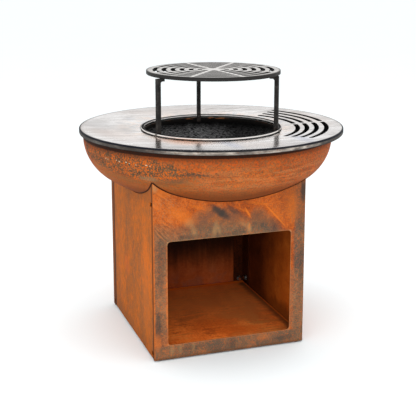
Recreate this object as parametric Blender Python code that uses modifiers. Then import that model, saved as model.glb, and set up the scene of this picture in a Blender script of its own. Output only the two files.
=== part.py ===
"""Wood-fired plancha barbecue: log cabinet, loose fire bowl, slotted plancha and raised round grate.

Metres, +Z up. The origin is on the plancha's axis, on the ground. The front, with the log opening, faces -Y.
The four loose pieces (bowl, plancha, rack, grate) lie slightly off centre on one another, as such pieces do.
"""
import math

import bmesh
import bpy
from mathutils import Matrix, Vector

# ---------------------------------------------------------------- driving dimensions (metres)
GAP = 0.0003                     # between pieces that touch

FOOT_H = 0.004                   # underside of the cabinet above the ground
CAB_X = -0.026                   # cabinet centre, off the plancha's axis
HX, HY = 0.2321, 0.2511          # half width and half depth of the cabinet
SHEET = 0.003                    # cabinet sheet
BEND_R = 0.0045                  # outer radius of the upright bends
FRONT_RETURN = 0.007             # front panel's side returns, from the front face
REAR_RETURN = 0.027              # rear panel's side returns, from the rear face
SEAM = 0.001                     # open seam between neighbouring sheets
FLANGE = 0.025                   # bottom flanges, from the outer face
SHEET_TOP = 0.540                # blank height before the arcs are cut
ARC_CLEAR = 0.0004               # bowl to arc edge

OPEN_X0, OPEN_X1 = -0.1905, 0.1868   # log opening, from the cabinet centre
OPEN_Z0, OPEN_Z1 = 0.0459, 0.3550
OPEN_R = 0.010

SHELF_TOP = 0.0312               # log floor
SHELF_T = 0.0025
SHELF_GAP = 0.0015               # to the walls

ANGLE_T = 0.003                  # corner angles
ANGLE_X_LEG, ANGLE_Y_LEG = 0.035, 0.057
ANGLE_Z0, ANGLE_Z1 = 0.0320, 0.385     # they stand just above the log floor
STUD_R = 0.004
STUD_OUT = 0.0148                # stud length inside the sheet
STUD_X = 0.2125                  # studs on the front and rear sheets
STUD_Y = 0.208                   # studs on the side sheets
STUD_Z_FRONT = (0.0415, 0.345)
STUD_Z_SIDE = (0.054, 0.359)
HOLE_R = 0.0043
NUT_AF, NUT_H, NUT_FLANGE_R, NUT_FLANGE_H = 0.013, 0.008, 0.0088, 0.0016

NOTCH_W, NOTCH_H = 0.019, 0.0125  # hook notches in the side sheets' front edges
NOTCH_Z = (0.0207, 0.463)
REAR_NOTCH_W, REAR_NOTCH_H, REAR_NOTCH_Z = 0.016, 0.012, 0.018

FOOT_X, FOOT_Y = 0.212, 0.234
FOOT_R, FOOT_STEM_R, FOOT_STEM_TOP = 0.012, 0.0037, 0.0125

BOWL_X = -0.012                  # bowl axis
BOWL_R = 0.3769                  # outer radius of the rim
BOWL_BOTTOM = 0.4009
BOWL_CROWN_R = 0.5807            # dished end: crown and knuckle radii, outside
BOWL_KNUCKLE_R = 0.1423
BOWL_T = 0.003

PLATE_R, PLATE_HOLE_R = 0.400, 0.2043
PLATE_TOP, PLATE_T = 0.6354, 0.015
PLATE_DISH = 0.0115              # the top falls this much from the rim to the hole
SLOT_RADII = (0.2635, 0.2910, 0.3200, 0.3495)
SLOT_W = 0.0135
SLOT_AZ = (-55.5, -7.9, 35.4)    # front tips, bridge, rear tips
SLOT_BRIDGE = 0.011
LUG_AZ = (45.0, 135.0, 225.0, 315.0)
LUG_R1, LUG_T, LUG_W, LUG_BOTTOM = 0.3575, 0.012, 0.030, 0.6040

RACK_RING_R, RACK_ROD_R = 0.2090, 0.0045
LEG_AZ = (82.4, 202.4, 322.4)
LEG_R0, LEG_R1, LEG_W = 0.1983, 0.2103, 0.012
TONGUE_R1, TONGUE_BOTTOM = 0.2037, 0.6105
LEG_LUG_R, LEG_LUG_H, LEG_FILLET = 0.1833, 0.0085, 0.006
BOLT_HOLE_R, BOLT_R, BOLT_HEAD_R, BOLT_HEAD_H = 0.0023, 0.0020, 0.00425, 0.0026

GRATE_X = 0.007                  # grate axis
GRATE_R, GRATE_TOP, GRATE_T = 0.2027, 0.8039, 0.0115
GRATE_RINGS = (0.200, 0.334, 0.470, 0.605, 0.738, 0.872)   # slot centres over the radius
GRATE_SLOT_W = 0.0125
GRATE_SPOKES, GRATE_SPOKE_AZ, GRATE_SPOKE_W = 8, 7.0, 0.011

RUST = (0.42, 0.14, 0.035)
RUST_DARK = (0.20, 0.07, 0.025)
STEEL = (0.42, 0.41, 0.40)
BLACK_STEEL = (0.055, 0.05, 0.047)
ZINC = (0.62, 0.62, 0.62)
BLACK_PLASTIC = (0.02, 0.02, 0.02)


# ---------------------------------------------------------------- scene and helpers
for old in list(bpy.data.objects):
    bpy.data.objects.remove(old, do_unlink=True)

grill_col = bpy.data.collections.new("plancha_barbecue")
tools_col = bpy.data.collections.new("cutters")
bpy.context.scene.collection.children.link(grill_col)
bpy.context.scene.collection.children.link(tools_col)


def material(name, colour, roughness, metallic):
    mat = bpy.data.materials.new(name)
    mat.use_nodes = True
    bsdf = mat.node_tree.nodes["Principled BSDF"]
    bsdf.inputs["Base Color"].default_value = (*colour, 1.0)
    bsdf.inputs["Roughness"].default_value = roughness
    bsdf.inputs["Metallic"].default_value = metallic
    return mat


def relink(obj, collection):
    for col in list(obj.users_collection):
        col.objects.unlink(obj)
    collection.objects.link(obj)


def as_tool(obj, name):
    """Cutters and joined-on shapes: seen as wires, never part of the model."""
    obj.name = name
    relink(obj, tools_col)
    obj.hide_render = True
    obj.display_type = 'WIRE'
    return obj


def finish(obj, name, mat, parent=None, smooth=None):
    obj.name = name
    obj.data.name = name
    relink(obj, grill_col)
    obj.data.materials.clear()
    obj.data.materials.append(mat)
    if parent is not None:
        obj.parent = parent
    if smooth is not None:
        obj.data.shade_smooth()
        obj.data.set_sharp_from_angle(angle=math.radians(smooth))
    return obj


def empty(name, location):
    emp = bpy.data.objects.new(name, None)
    emp.empty_display_size = 0.05
    emp.location = location
    grill_col.objects.link(emp)
    return emp


def baked(obj):
    """The object's evaluated mesh as a plain mesh in its own space."""
    deps = bpy.context.evaluated_depsgraph_get()
    deps.update()
    mesh = bpy.data.meshes.new_from_object(obj.evaluated_get(deps), depsgraph=deps)
    bm = bmesh.new()
    bm.from_mesh(mesh)
    bmesh.ops.remove_doubles(bm, verts=bm.verts, dist=1e-6)
    bm.to_mesh(mesh)
    bm.free()
    return mesh


PLANES = {
    "XY": Matrix.Identity(4),
    "XZ": Matrix(((1, 0, 0, 0), (0, 0, -1, 0), (0, 1, 0, 0), (0, 0, 0, 1))),
    "YZ": Matrix(((0, 0, 1, 0), (1, 0, 0, 0), (0, 1, 0, 0), (0, 0, 0, 1))),
}


def prism(name, loops, lo, hi, plane="XY"):
    """Flat outlines (the first is the outside, others are holes or islands) extruded from lo to hi."""
    curve = bpy.data.curves.new(name, 'CURVE')
    curve.dimensions = '2D'
    curve.fill_mode = 'BOTH'
    curve.extrude = abs(hi - lo) / 2
    for loop in loops:
        spline = curve.splines.new('POLY')
        spline.points.add(len(loop) - 1)
        for point, (x, y) in zip(spline.points, loop):
            point.co = (x, y, 0, 1)
        spline.use_cyclic_u = True
    flat = bpy.data.objects.new(name, curve)
    bpy.context.scene.collection.objects.link(flat)
    mesh = baked(flat)
    bpy.data.objects.remove(flat, do_unlink=True)
    middle = (hi + lo) / 2
    if plane == "XZ":
        middle = -middle
    mesh.transform(PLANES[plane] @ Matrix.Translation((0, 0, middle)))
    obj = bpy.data.objects.new(name, mesh)
    bpy.context.scene.collection.objects.link(obj)
    return obj


def box(name, lo, hi):
    bpy.ops.mesh.primitive_cube_add(size=1)
    obj = bpy.context.active_object
    size = [b - a for a, b in zip(lo, hi)]
    mid = [(a + b) / 2 for a, b in zip(lo, hi)]
    obj.data.transform(Matrix.Translation(mid) @ Matrix.Diagonal((*size, 1)))
    obj.name = name
    return obj


def rod(name, start, end, radius, segments=12):
    start, end = Vector(start), Vector(end)
    axis = end - start
    bpy.ops.mesh.primitive_cylinder_add(vertices=segments, radius=radius, depth=axis.length)
    obj = bpy.context.active_object
    turn = axis.to_track_quat('Z', 'Y').to_matrix().to_4x4()
    obj.data.transform(Matrix.Translation((start + end) / 2) @ turn)
    obj.name = name
    return obj


def boolean(obj, tool, operation='DIFFERENCE'):
    mod = obj.modifiers.new(tool.name, 'BOOLEAN')
    mod.operation = operation
    mod.solver = 'EXACT'
    mod.object = tool
    return mod


def turned(name, profile, steps):
    """A profile in (r, z), listed so that it runs down its outer side, turned about Z."""
    mesh = bpy.data.meshes.new(name)
    closed = profile[0][0] > 0 and profile[-1][0] > 0
    count = len(profile)
    edges = [(i, i + 1) for i in range(count - 1)] + ([(count - 1, 0)] if closed else [])
    mesh.from_pydata([(r, 0, z) for r, z in profile], edges, [])
    obj = bpy.data.objects.new(name, mesh)
    bpy.context.scene.collection.objects.link(obj)
    screw = obj.modifiers.new("turn", 'SCREW')
    screw.axis = 'Z'
    screw.steps = screw.render_steps = steps
    screw.use_merge_vertices = True
    screw.merge_threshold = 0.00001
    screw.use_smooth_shade = True
    return obj


def arc(cx, cy, radius, a0, a1, count):
    return [(cx + radius * math.cos(math.radians(a0 + (a1 - a0) * i / count)),
             cy + radius * math.sin(math.radians(a0 + (a1 - a0) * i / count))) for i in range(count + 1)]


def rounded_rect(x0, y0, x1, y1, radius, count=4):
    return (arc(x1 - radius, y0 + radius, radius, -90, 0, count) + arc(x1 - radius, y1 - radius, radius, 0, 90, count)
            + arc(x0 + radius, y1 - radius, radius, 90, 180, count)
            + arc(x0 + radius, y0 + radius, radius, 180, 270, count))


# ---------------------------------------------------------------- the bowl's form, shared with the arcs
KNUCKLE_AXIS_R = BOWL_R - BOWL_KNUCKLE_R
CROWN_Z = BOWL_BOTTOM + BOWL_CROWN_R
KNUCKLE_Z = CROWN_Z - math.sqrt((BOWL_CROWN_R - BOWL_KNUCKLE_R) ** 2 - KNUCKLE_AXIS_R ** 2)
TANGENT = math.degrees(math.asin(KNUCKLE_AXIS_R / (BOWL_CROWN_R - BOWL_KNUCKLE_R)))


def dish(r):
    """How far the plancha's faces lie below those of its rim."""
    return PLATE_DISH * (max(PLATE_R - r, 0.0) / (PLATE_R - PLATE_HOLE_R)) ** 1.5


# the bowl is off the plancha's axis, so one side of its rim sits further in, under a lower part of the dish
BOWL_TOP = PLATE_TOP - PLATE_T - dish(BOWL_R - BOWL_T - abs(BOWL_X) - 0.004) - GAP


def bowl_z(r):
    """Height of the bowl's outer face at a radius."""
    if r <= BOWL_CROWN_R * math.sin(math.radians(TANGENT)):
        return CROWN_Z - math.sqrt(BOWL_CROWN_R ** 2 - r ** 2)
    return KNUCKLE_Z - math.sqrt(max(BOWL_KNUCKLE_R ** 2 - (r - KNUCKLE_AXIS_R) ** 2, 0.0))


# ---------------------------------------------------------------- materials
def rust(name):
    return material(name, RUST, 0.75, 0.15)


# ---------------------------------------------------------------- cabinet
cabinet = empty("cabinet_origin", (CAB_X, 0, 0))
LIFT = BOWL_X - CAB_X            # bowl axis from the cabinet centre


def arc_cut(name, side):
    """The space above an arc, cut square to the sheet; side is front, rear, left or right."""
    half_run = (HX if side in ("front", "rear") else HY) + 0.004
    count = 44
    top = SHEET_TOP + 0.03
    points = []
    for i in range(count + 1):
        u = -half_run + 2 * half_run * i / count
        if side in ("front", "rear"):
            r = math.hypot(u - LIFT, HY - SHEET)
        else:
            face = (HX - SHEET) if side == "right" else -(HX - SHEET)
            r = math.hypot(face - LIFT, u)
        points.append((u, bowl_z(r) - ARC_CLEAR))
    points += [(half_run, top), (-half_run, top)]
    reach = {"front": (-HY - 0.01, -HY + SHEET + 0.002), "rear": (HY - SHEET - 0.002, HY + 0.01),
             "left": (-HX - 0.01, -HX + SHEET + 0.002), "right": (HX - SHEET - 0.002, HX + 0.01)}[side]
    plane = "XZ" if side in ("front", "rear") else "YZ"
    obj = as_tool(prism(name, [points], *reach, plane=plane), name)
    obj.parent = cabinet
    return obj


ARCS = {side: arc_cut("arc_cut_" + side, side) for side in ("front", "rear", "left", "right")}


def tool(obj, name):
    as_tool(obj, name).parent = cabinet
    return obj


def bent_sheet(name, sign, back):
    """Plan of a sheet across the cabinet with a return at each side; sign is -1 for front, +1 for rear."""
    inner = BEND_R - SHEET
    y_out, y_in, y_end = HY, HY - SHEET, HY - back
    outline = [(-HX, y_end)]
    outline += [(x, y) for x, y in arc(-HX + BEND_R, y_out - BEND_R, BEND_R, 180, 90, 4)]
    outline += [(x, y) for x, y in arc(HX - BEND_R, y_out - BEND_R, BEND_R, 90, 0, 4)]
    outline += [(HX, y_end), (HX - SHEET, y_end)]
    outline += [(x, y) for x, y in arc(HX - BEND_R, y_out - BEND_R, inner, 0, 90, 2)]
    outline += [(x, y) for x, y in arc(-HX + BEND_R, y_out - BEND_R, inner, 90, 180, 2)]
    outline += [(-HX + SHEET, y_end)]
    outline = [(x, sign * y) for x, y in outline]
    sheet = prism(name, [outline], FOOT_H, SHEET_TOP)
    wide = HX - SHEET - 0.0006
    lo_y, hi_y = sorted((sign * (HY - 0.0012), sign * (HY - FLANGE)))
    boolean(sheet, tool(box(name + "_flange", (-wide, lo_y, FOOT_H), (wide, hi_y, FOOT_H + SHEET)), name + "_flange"),
            'UNION')
    for sx in (-1, 1):
        tag = "_l" if sx < 0 else "_r"
        hole = rod(name + "_foot_hole" + tag, (sx * FOOT_X, sign * FOOT_Y, FOOT_H - 0.005),
                   (sx * FOOT_X, sign * FOOT_Y, FOOT_H + SHEET + 0.005), 0.0041)
        boolean(sheet, tool(hole, name + "_foot_hole" + tag))
        for i, z in enumerate(STUD_Z_FRONT):
            stud = rod(name + "_stud", (sx * STUD_X, sign * (y_in + 0.001), z),
                       (sx * STUD_X, sign * (y_in - STUD_OUT), z), STUD_R)
            boolean(sheet, tool(stud, f"{name}_stud{tag}{i}"), 'UNION')
    for side in ("front" if sign < 0 else "rear", "left", "right"):
        boolean(sheet, ARCS[side])
    return sheet


front = bent_sheet("front_panel", -1, FRONT_RETURN)
boolean(front, tool(prism("log_opening", [rounded_rect(OPEN_X0, OPEN_Z0, OPEN_X1, OPEN_Z1, OPEN_R)],
                          -HY - 0.01, -HY + 0.02, plane="XZ"), "log_opening"))
finish(front, "front_panel", rust("front_panel"), cabinet)

rear = bent_sheet("rear_panel", 1, REAR_RETURN)
edge_y = HY - REAR_RETURN
for sx in (-1, 1):
    lo_x, hi_x = sorted((sx * (HX + 0.01), sx * (HX - SHEET - 0.002)))
    boolean(rear, tool(box("rear_notch", (lo_x, edge_y - 0.005, REAR_NOTCH_Z - REAR_NOTCH_H / 2),
                           (hi_x, edge_y + REAR_NOTCH_W, REAR_NOTCH_Z + REAR_NOTCH_H / 2)),
                       "rear_notch_l" if sx < 0 else "rear_notch_r"))
finish(rear, "rear_panel", rust("rear_panel"), cabinet)


def side_panel(name, sx):
    """A flat sheet between the two bent ones, with a flange turned in at its foot."""
    y0, y1 = -HY + FRONT_RETURN + SEAM, HY - REAR_RETURN - SEAM
    r_out, r_in = 0.004, 0.001
    outline = [(HX, SHEET_TOP)]
    outline += arc(HX - r_out, FOOT_H + r_out, r_out, 0, -90, 4)
    outline += [(HX - FLANGE, FOOT_H), (HX - FLANGE, FOOT_H + SHEET)]
    outline += arc(HX - SHEET - r_in, FOOT_H + SHEET + r_in, r_in, -90, 0, 2)
    outline += [(HX - SHEET, SHEET_TOP)]
    outline = [(sx * x, z) for x, z in outline]
    sheet = prism(name, [outline], y0, y1, plane="XZ")
    lo_x, hi_x = sorted((sx * (HX - SHEET - 0.0005), sx * (HX - FLANGE - 0.01)))
    boolean(sheet, tool(box(name + "_flange_end", (lo_x, y0 - 0.01, FOOT_H - 0.01),
                            (hi_x, -HY + FLANGE + 0.001, FOOT_H + SHEET + 0.004)), name + "_flange_end"))
    lo_x, hi_x = sorted((sx * (HX + 0.01), sx * (HX - SHEET - 0.002)))
    for i, z in enumerate(NOTCH_Z):
        boolean(sheet, tool(box(name + "_notch", (lo_x, y0 - 0.01, z - NOTCH_H / 2), (hi_x, y0 + NOTCH_W, z + NOTCH_H / 2)),
                            f"{name}_notch_{i}"))
    for sy in (-1, 1):
        for i, z in enumerate(STUD_Z_SIDE):
            stud = rod(name + "_stud", (sx * (HX - SHEET + 0.001), sy * STUD_Y, z),
                       (sx * (HX - SHEET - STUD_OUT), sy * STUD_Y, z), STUD_R)
            boolean(sheet, tool(stud, f"{name}_stud_{'f' if sy < 0 else 'r'}{i}"), 'UNION')
    boolean(sheet, ARCS["left" if sx < 0 else "right"])
    return finish(sheet, name, rust(name), cabinet)


side_panel("left_panel", -1)
side_panel("right_panel", 1)


def corner_angle(name, sx, sy):
    """Upright angle behind a corner, with a hole for each stud."""
    cx, cy = HX - SHEET - GAP, HY - SHEET - GAP
    outline = arc(cx - 0.0034, cy - 0.0034, 0.0034, 0, 90, 3)
    outline += [(cx - ANGLE_X_LEG, cy), (cx - ANGLE_X_LEG, cy - ANGLE_T)]
    outline += arc(cx - ANGLE_T - 0.001, cy - ANGLE_T - 0.001, 0.001, 90, 0, 2)
    outline += [(cx - ANGLE_T, cy - ANGLE_Y_LEG), (cx, cy - ANGLE_Y_LEG)]
    outline = [(sx * x, sy * y) for x, y in outline]
    ang = prism(name, [outline], ANGLE_Z0, ANGLE_Z1)
    for i, z in enumerate(STUD_Z_FRONT):
        hole = rod(name + "_hole", (sx * STUD_X, sy * (cy + 0.01), z), (sx * STUD_X, sy * (cy - 0.01), z), HOLE_R)
        boolean(ang, tool(hole, f"{name}_hole_x{i}"))
    for i, z in enumerate(STUD_Z_SIDE):
        hole = rod(name + "_hole", (sx * (cx + 0.01), sy * STUD_Y, z), (sx * (cx - 0.01), sy * STUD_Y, z), HOLE_R)
        boolean(ang, tool(hole, f"{name}_hole_y{i}"))
    return finish(ang, name, material(name, RUST_DARK, 0.7, 0.2), cabinet)


CORNERS = {"front_left": (-1, -1), "front_right": (1, -1), "rear_left": (-1, 1), "rear_right": (1, 1)}
for corner, (sx, sy) in CORNERS.items():
    corner_angle("corner_angle_" + corner, sx, sy)

# one flanged nut, shared: its flange face is at z = 0 and the nut stands up along +Z
bpy.ops.mesh.primitive_cylinder_add(vertices=6, radius=NUT_AF / math.sqrt(3), depth=NUT_H, location=(0, 0, NUT_H / 2))
nut_form = bpy.context.active_object
nut_flange = as_tool(rod("nut_flange", (0, 0, 0), (0, 0, NUT_FLANGE_H), NUT_FLANGE_R, 12), "nut_flange")
nut_bore = as_tool(rod("nut_bore", (0, 0, -0.005), (0, 0, NUT_H + 0.005), HOLE_R, 12), "nut_bore")
boolean(nut_form, nut_flange, 'UNION')
boolean(nut_form, nut_bore)
nut_mesh = baked(nut_form)
nut_mesh.transform(Matrix.Translation((0, 0, NUT_H / 2)) if min(v.co.z for v in nut_mesh.vertices) < -1e-4 else
                   Matrix.Identity(4))
bpy.data.objects.remove(nut_form, do_unlink=True)
nut_mesh.name = "flanged_nut"
nut_mesh.materials.append(material("nut_zinc", ZINC, 0.35, 1.0))


def nut(name, position, direction):
    obj = bpy.data.objects.new(name, nut_mesh)
    grill_col.objects.link(obj)
    obj.location = position
    obj.rotation_mode = 'QUATERNION'
    obj.rotation_quaternion = Vector(direction).to_track_quat('Z', 'Y')
    obj.parent = cabinet
    return obj


for corner, (sx, sy) in CORNERS.items():
    face_y = HY - SHEET - GAP - ANGLE_T - GAP
    face_x = HX - SHEET - GAP - ANGLE_T - GAP
    wall = "front" if sy < 0 else "rear"
    for level, z in zip(("low", "high"), STUD_Z_FRONT):
        nut(f"nut_{corner}_{wall}_{level}", (sx * STUD_X, sy * face_y, z), (0, -sy, 0))
    for level, z in zip(("low", "high"), STUD_Z_SIDE):
        nut(f"nut_{corner}_side_{level}", (sx * face_x, sy * STUD_Y, z), (-sx, 0, 0))

# log floor: a tray whose four edges turn down to the bottom flanges
sx1, sy1 = HX - SHEET - SHELF_GAP, HY - SHEET - SHELF_GAP
shelf_bottom = FOOT_H + SHEET + GAP
shelf = box("floor_shelf", (-sx1, -sy1, shelf_bottom), (sx1, sy1, SHELF_TOP))
boolean(shelf, tool(box("shelf_hollow", (-sx1 + SHELF_T, -sy1 + SHELF_T, -0.01),
                        (sx1 - SHELF_T, sy1 - SHELF_T, SHELF_TOP - SHELF_T)), "shelf_hollow"))
finish(shelf, "floor_shelf", rust("floor_shelf"), cabinet)

# push-in glides
foot_profile = [(0, 0), (FOOT_R - 0.001, 0), (FOOT_R, 0.001), (FOOT_R, FOOT_H - GAP), (FOOT_STEM_R, FOOT_H - GAP),
                (FOOT_STEM_R, FOOT_STEM_TOP), (0, FOOT_STEM_TOP)]
foot_form = turned("foot_form", foot_profile[::-1], 16)
foot_mesh = baked(foot_form)
bpy.data.objects.remove(foot_form, do_unlink=True)
foot_mesh.name = "glide"
foot_mesh.materials.append(material("foot_plastic", BLACK_PLASTIC, 0.5, 0.0))
for corner, (sx, sy) in CORNERS.items():
    foot = bpy.data.objects.new("foot_" + corner, foot_mesh)
    grill_col.objects.link(foot)
    foot.location = (sx * FOOT_X, sy * FOOT_Y, 0)
    foot.parent = cabinet

# ---------------------------------------------------------------- fire bowl
inner_profile = [(0, BOWL_BOTTOM + BOWL_T)]
crown = arc(0, CROWN_Z, BOWL_CROWN_R - BOWL_T, -90, -90 + TANGENT, 4)
knuckle = arc(KNUCKLE_AXIS_R, KNUCKLE_Z, BOWL_KNUCKLE_R - BOWL_T, -90 + TANGENT, 0, 5)
inner_profile += crown[1:] + knuckle[1:] + [(BOWL_R - BOWL_T, BOWL_TOP)]
crown = arc(0, CROWN_Z, BOWL_CROWN_R, -90, -90 + TANGENT, 4)
knuckle = arc(KNUCKLE_AXIS_R, KNUCKLE_Z, BOWL_KNUCKLE_R, -90 + TANGENT, 0, 5)
outer_profile = [(0, BOWL_BOTTOM)] + crown[1:] + knuckle[1:] + [(BOWL_R, BOWL_TOP)]
bowl = turned("fire_bowl", inner_profile + outer_profile[::-1], 64)
bowl.location = (BOWL_X, 0, 0)
finish(bowl, "fire_bowl", rust("fire_bowl"))

# ---------------------------------------------------------------- plancha
plancha = empty("plancha_origin", (0, 0, 0))
radii = [PLATE_HOLE_R + 0.0008, 0.2400, 0.2900, 0.3450, PLATE_R - 0.0015]
top_edge = [(r, PLATE_TOP - dish(r)) for r in radii]
low_edge = [(r, PLATE_TOP - PLATE_T - dish(r)) for r in radii]
plate_profile = (top_edge + [(PLATE_R, PLATE_TOP - 0.0015), (PLATE_R, PLATE_TOP - PLATE_T + 0.0015)] + low_edge[::-1]
                 + [(PLATE_HOLE_R, low_edge[0][1] + 0.0008), (PLATE_HOLE_R, top_edge[0][1] - 0.0008)])
plate = turned("plancha_plate", plate_profile, 84)


def ring_slot(radius, a0, a1, width, step=5.0):
    """A curved slot with round ends; a0 and a1 are the azimuths of its tips."""
    cap = math.degrees(width / 2 / radius)
    b0, b1 = a0 + cap, a1 - cap
    count = max(3, round((b1 - b0) / step))
    loop = arc(0, 0, radius + width / 2, b0, b1, count)
    for k in range(1, 4):
        t = math.radians(45 * k)
        out, along = width / 2 * math.cos(t), width / 2 * math.sin(t)
        e = math.radians(b1)
        loop.append(((radius + out) * math.cos(e) - along * math.sin(e), (radius + out) * math.sin(e) + along * math.cos(e)))
    loop += arc(0, 0, radius - width / 2, b1, b0, count)
    for k in range(1, 4):
        t = math.radians(45 * k)
        out, along = -width / 2 * math.cos(t), -width / 2 * math.sin(t)
        e = math.radians(b0)
        loop.append(((radius + out) * math.cos(e) - along * math.sin(e), (radius + out) * math.sin(e) + along * math.cos(e)))
    return loop


slots = []
for radius in SLOT_RADII:
    half = math.degrees(SLOT_BRIDGE / 2 / radius)
    slots.append(ring_slot(radius, SLOT_AZ[0], SLOT_AZ[1] - half, SLOT_W))
    slots.append(ring_slot(radius, SLOT_AZ[1] + half, SLOT_AZ[2], SLOT_W))
slot_cut = as_tool(prism("plancha_slots", slots, PLATE_TOP - 0.05, PLATE_TOP + 0.02), "plancha_slots")
slot_cut.parent = plancha
boolean(plate, slot_cut)
finish(plate, "plancha_plate", material("plancha_plate", STEEL, 0.25, 0.9), plancha)

lug_top = PLATE_TOP - PLATE_T - dish(LUG_R1 - LUG_T) - GAP
lug_form = box("lug_form", (LUG_R1 - LUG_T, -LUG_W / 2, LUG_BOTTOM), (LUG_R1, LUG_W / 2, lug_top))
lug_bevel = lug_form.modifiers.new("edges", 'BEVEL')
lug_bevel.width = 0.0015
lug_bevel.segments = 1
lug_mesh = baked(lug_form)
bpy.data.objects.remove(lug_form, do_unlink=True)
lug_mesh.name = "plancha_lug"
lug_mesh.materials.append(material("plancha_lug", BLACK_STEEL, 0.6, 0.6))
for az, tag in zip(LUG_AZ, ("rear_right", "rear_left", "front_left", "front_right")):
    lug = bpy.data.objects.new("plancha_lug_" + tag, lug_mesh)
    grill_col.objects.link(lug)
    lug.rotation_euler = (0, 0, math.radians(az))
    lug.parent = plancha

# ---------------------------------------------------------------- rack
rack = empty("rack_origin", (0, 0, 0))
ring_z = PLATE_TOP - dish(RACK_RING_R) + RACK_ROD_R + GAP
bpy.ops.mesh.primitive_torus_add(major_radius=RACK_RING_R, minor_radius=RACK_ROD_R, major_segments=72, minor_segments=8)
ring = bpy.context.active_object
ring.data.transform(Matrix.Translation((0, 0, ring_z)))
for i, az in enumerate(LEG_AZ):
    c, s = math.cos(math.radians(az)), math.sin(math.radians(az))
    hole = rod("ring_hole", (0.195 * c, 0.195 * s, ring_z), (0.225 * c, 0.225 * s, ring_z), BOLT_HOLE_R, 12)
    as_tool(hole, f"ring_hole_{i}").parent = rack
    boolean(ring, hole)
finish(ring, "rack_ring", material("rack_ring", BLACK_STEEL, 0.55, 0.7), rack, smooth=50)

leg_top = GRATE_TOP - GRATE_T - GAP
notch_z = ring_z + RACK_ROD_R + GAP
lug_z = leg_top - LEG_LUG_H
leg_outline = [(TONGUE_R1, TONGUE_BOTTOM), (TONGUE_R1, notch_z), (LEG_R1, notch_z), (LEG_R1, leg_top),
               (LEG_LUG_R, leg_top), (LEG_LUG_R, lug_z)]
leg_outline += arc(LEG_R0 - LEG_FILLET, lug_z - LEG_FILLET, LEG_FILLET, 90, 0, 4)
leg_outline += [(LEG_R0, TONGUE_BOTTOM)]
leg_form = prism("leg_form", [leg_outline], -LEG_W / 2, LEG_W / 2, plane="XZ")
leg_hole = as_tool(rod("leg_hole", (0.19, 0, ring_z), (0.22, 0, ring_z), BOLT_HOLE_R, 12), "leg_hole")
boolean(leg_form, leg_hole)
leg_edges = leg_form.modifiers.new("edges", 'BEVEL')
leg_edges.width = 0.0007
leg_edges.segments = 1
leg_edges.limit_method = 'ANGLE'
leg_edges.angle_limit = math.radians(60)
leg_mesh = baked(leg_form)
bpy.data.objects.remove(leg_form, do_unlink=True)
leg_mesh.name = "rack_leg"
leg_mesh.materials.append(material("rack_leg", BLACK_STEEL, 0.6, 0.6))

head_r0 = RACK_RING_R + RACK_ROD_R + GAP
shank = head_r0 - LEG_R0 - 0.001
bolt_profile = [(0, 0), (BOLT_R, 0), (BOLT_R, shank), (BOLT_HEAD_R, shank), (BOLT_HEAD_R, shank + 0.0010),
                (BOLT_HEAD_R * 0.80, shank + 0.0021), (BOLT_HEAD_R * 0.40, shank + BOLT_HEAD_H),
                (0, shank + BOLT_HEAD_H)]
bolt_form = turned("bolt_form", bolt_profile[::-1], 12)
bolt_mesh = baked(bolt_form)
bpy.data.objects.remove(bolt_form, do_unlink=True)
bolt_mesh.transform(Matrix.Rotation(math.radians(90), 4, 'Y'))
bolt_mesh.transform(Matrix.Translation((LEG_R0 + 0.001, 0, ring_z)))
bolt_mesh.name = "leg_bolt"
bolt_mesh.materials.append(material("leg_bolt", ZINC, 0.4, 0.9))

for az, tag in zip(LEG_AZ, ("rear", "left", "right")):
    for name, mesh in (("rack_leg_" + tag, leg_mesh), ("leg_bolt_" + tag, bolt_mesh)):
        obj = bpy.data.objects.new(name, mesh)
        grill_col.objects.link(obj)
        obj.rotation_euler = (0, 0, math.radians(az))
        obj.parent = rack

# ---------------------------------------------------------------- grate
loops = [arc(0, 0, GRATE_R, 0, 360 - 360 / 84, 83)]
for share in GRATE_RINGS:
    radius = share * GRATE_R
    r_in, r_out = radius - GRATE_SLOT_W / 2, radius + GRATE_SLOT_W / 2
    for k in range(GRATE_SPOKES):
        a0 = GRATE_SPOKE_AZ + 360 / GRATE_SPOKES * k
        a1 = a0 + 360 / GRATE_SPOKES
        out_cut = math.degrees(math.asin(GRATE_SPOKE_W / 2 / r_out))
        in_cut = math.degrees(math.asin(GRATE_SPOKE_W / 2 / r_in))
        count = max(2, round(radius * math.radians(a1 - a0) / 0.022))
        loops.append(arc(0, 0, r_out, a0 + out_cut, a1 - out_cut, count)
                     + arc(0, 0, r_in, a1 - in_cut, a0 + in_cut, count))
grate = prism("grate", loops, GRATE_TOP - GRATE_T, GRATE_TOP)
grate.location = (GRATE_X, 0, 0)
finish(grate, "grate", material("grate", (0.30, 0.29, 0.28), 0.5, 0.8))
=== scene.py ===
"""Looks of the plancha barbecue: finishes, detailed round pieces, floor, light and camera."""
import math

import bmesh
import bpy
from mathutils import Matrix, Vector


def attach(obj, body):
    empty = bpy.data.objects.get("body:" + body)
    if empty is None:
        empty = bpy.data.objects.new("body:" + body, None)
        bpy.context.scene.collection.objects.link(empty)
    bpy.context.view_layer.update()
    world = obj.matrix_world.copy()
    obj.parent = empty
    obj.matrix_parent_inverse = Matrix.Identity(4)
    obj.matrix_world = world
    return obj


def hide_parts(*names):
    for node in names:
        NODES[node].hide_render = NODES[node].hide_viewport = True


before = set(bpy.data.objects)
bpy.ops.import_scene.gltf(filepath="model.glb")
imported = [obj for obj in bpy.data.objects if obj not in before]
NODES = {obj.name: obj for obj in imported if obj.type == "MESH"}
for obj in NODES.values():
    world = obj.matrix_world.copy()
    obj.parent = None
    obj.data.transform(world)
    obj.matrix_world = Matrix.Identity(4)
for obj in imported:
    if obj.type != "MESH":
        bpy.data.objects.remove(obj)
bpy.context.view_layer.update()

# ---------------------------------------------------------------- dimensions shared with the model (metres)
CAB_X, HX, HY, SHEET, REAR_RETURN = -0.026, 0.2321, 0.2511, 0.003, 0.027
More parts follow.
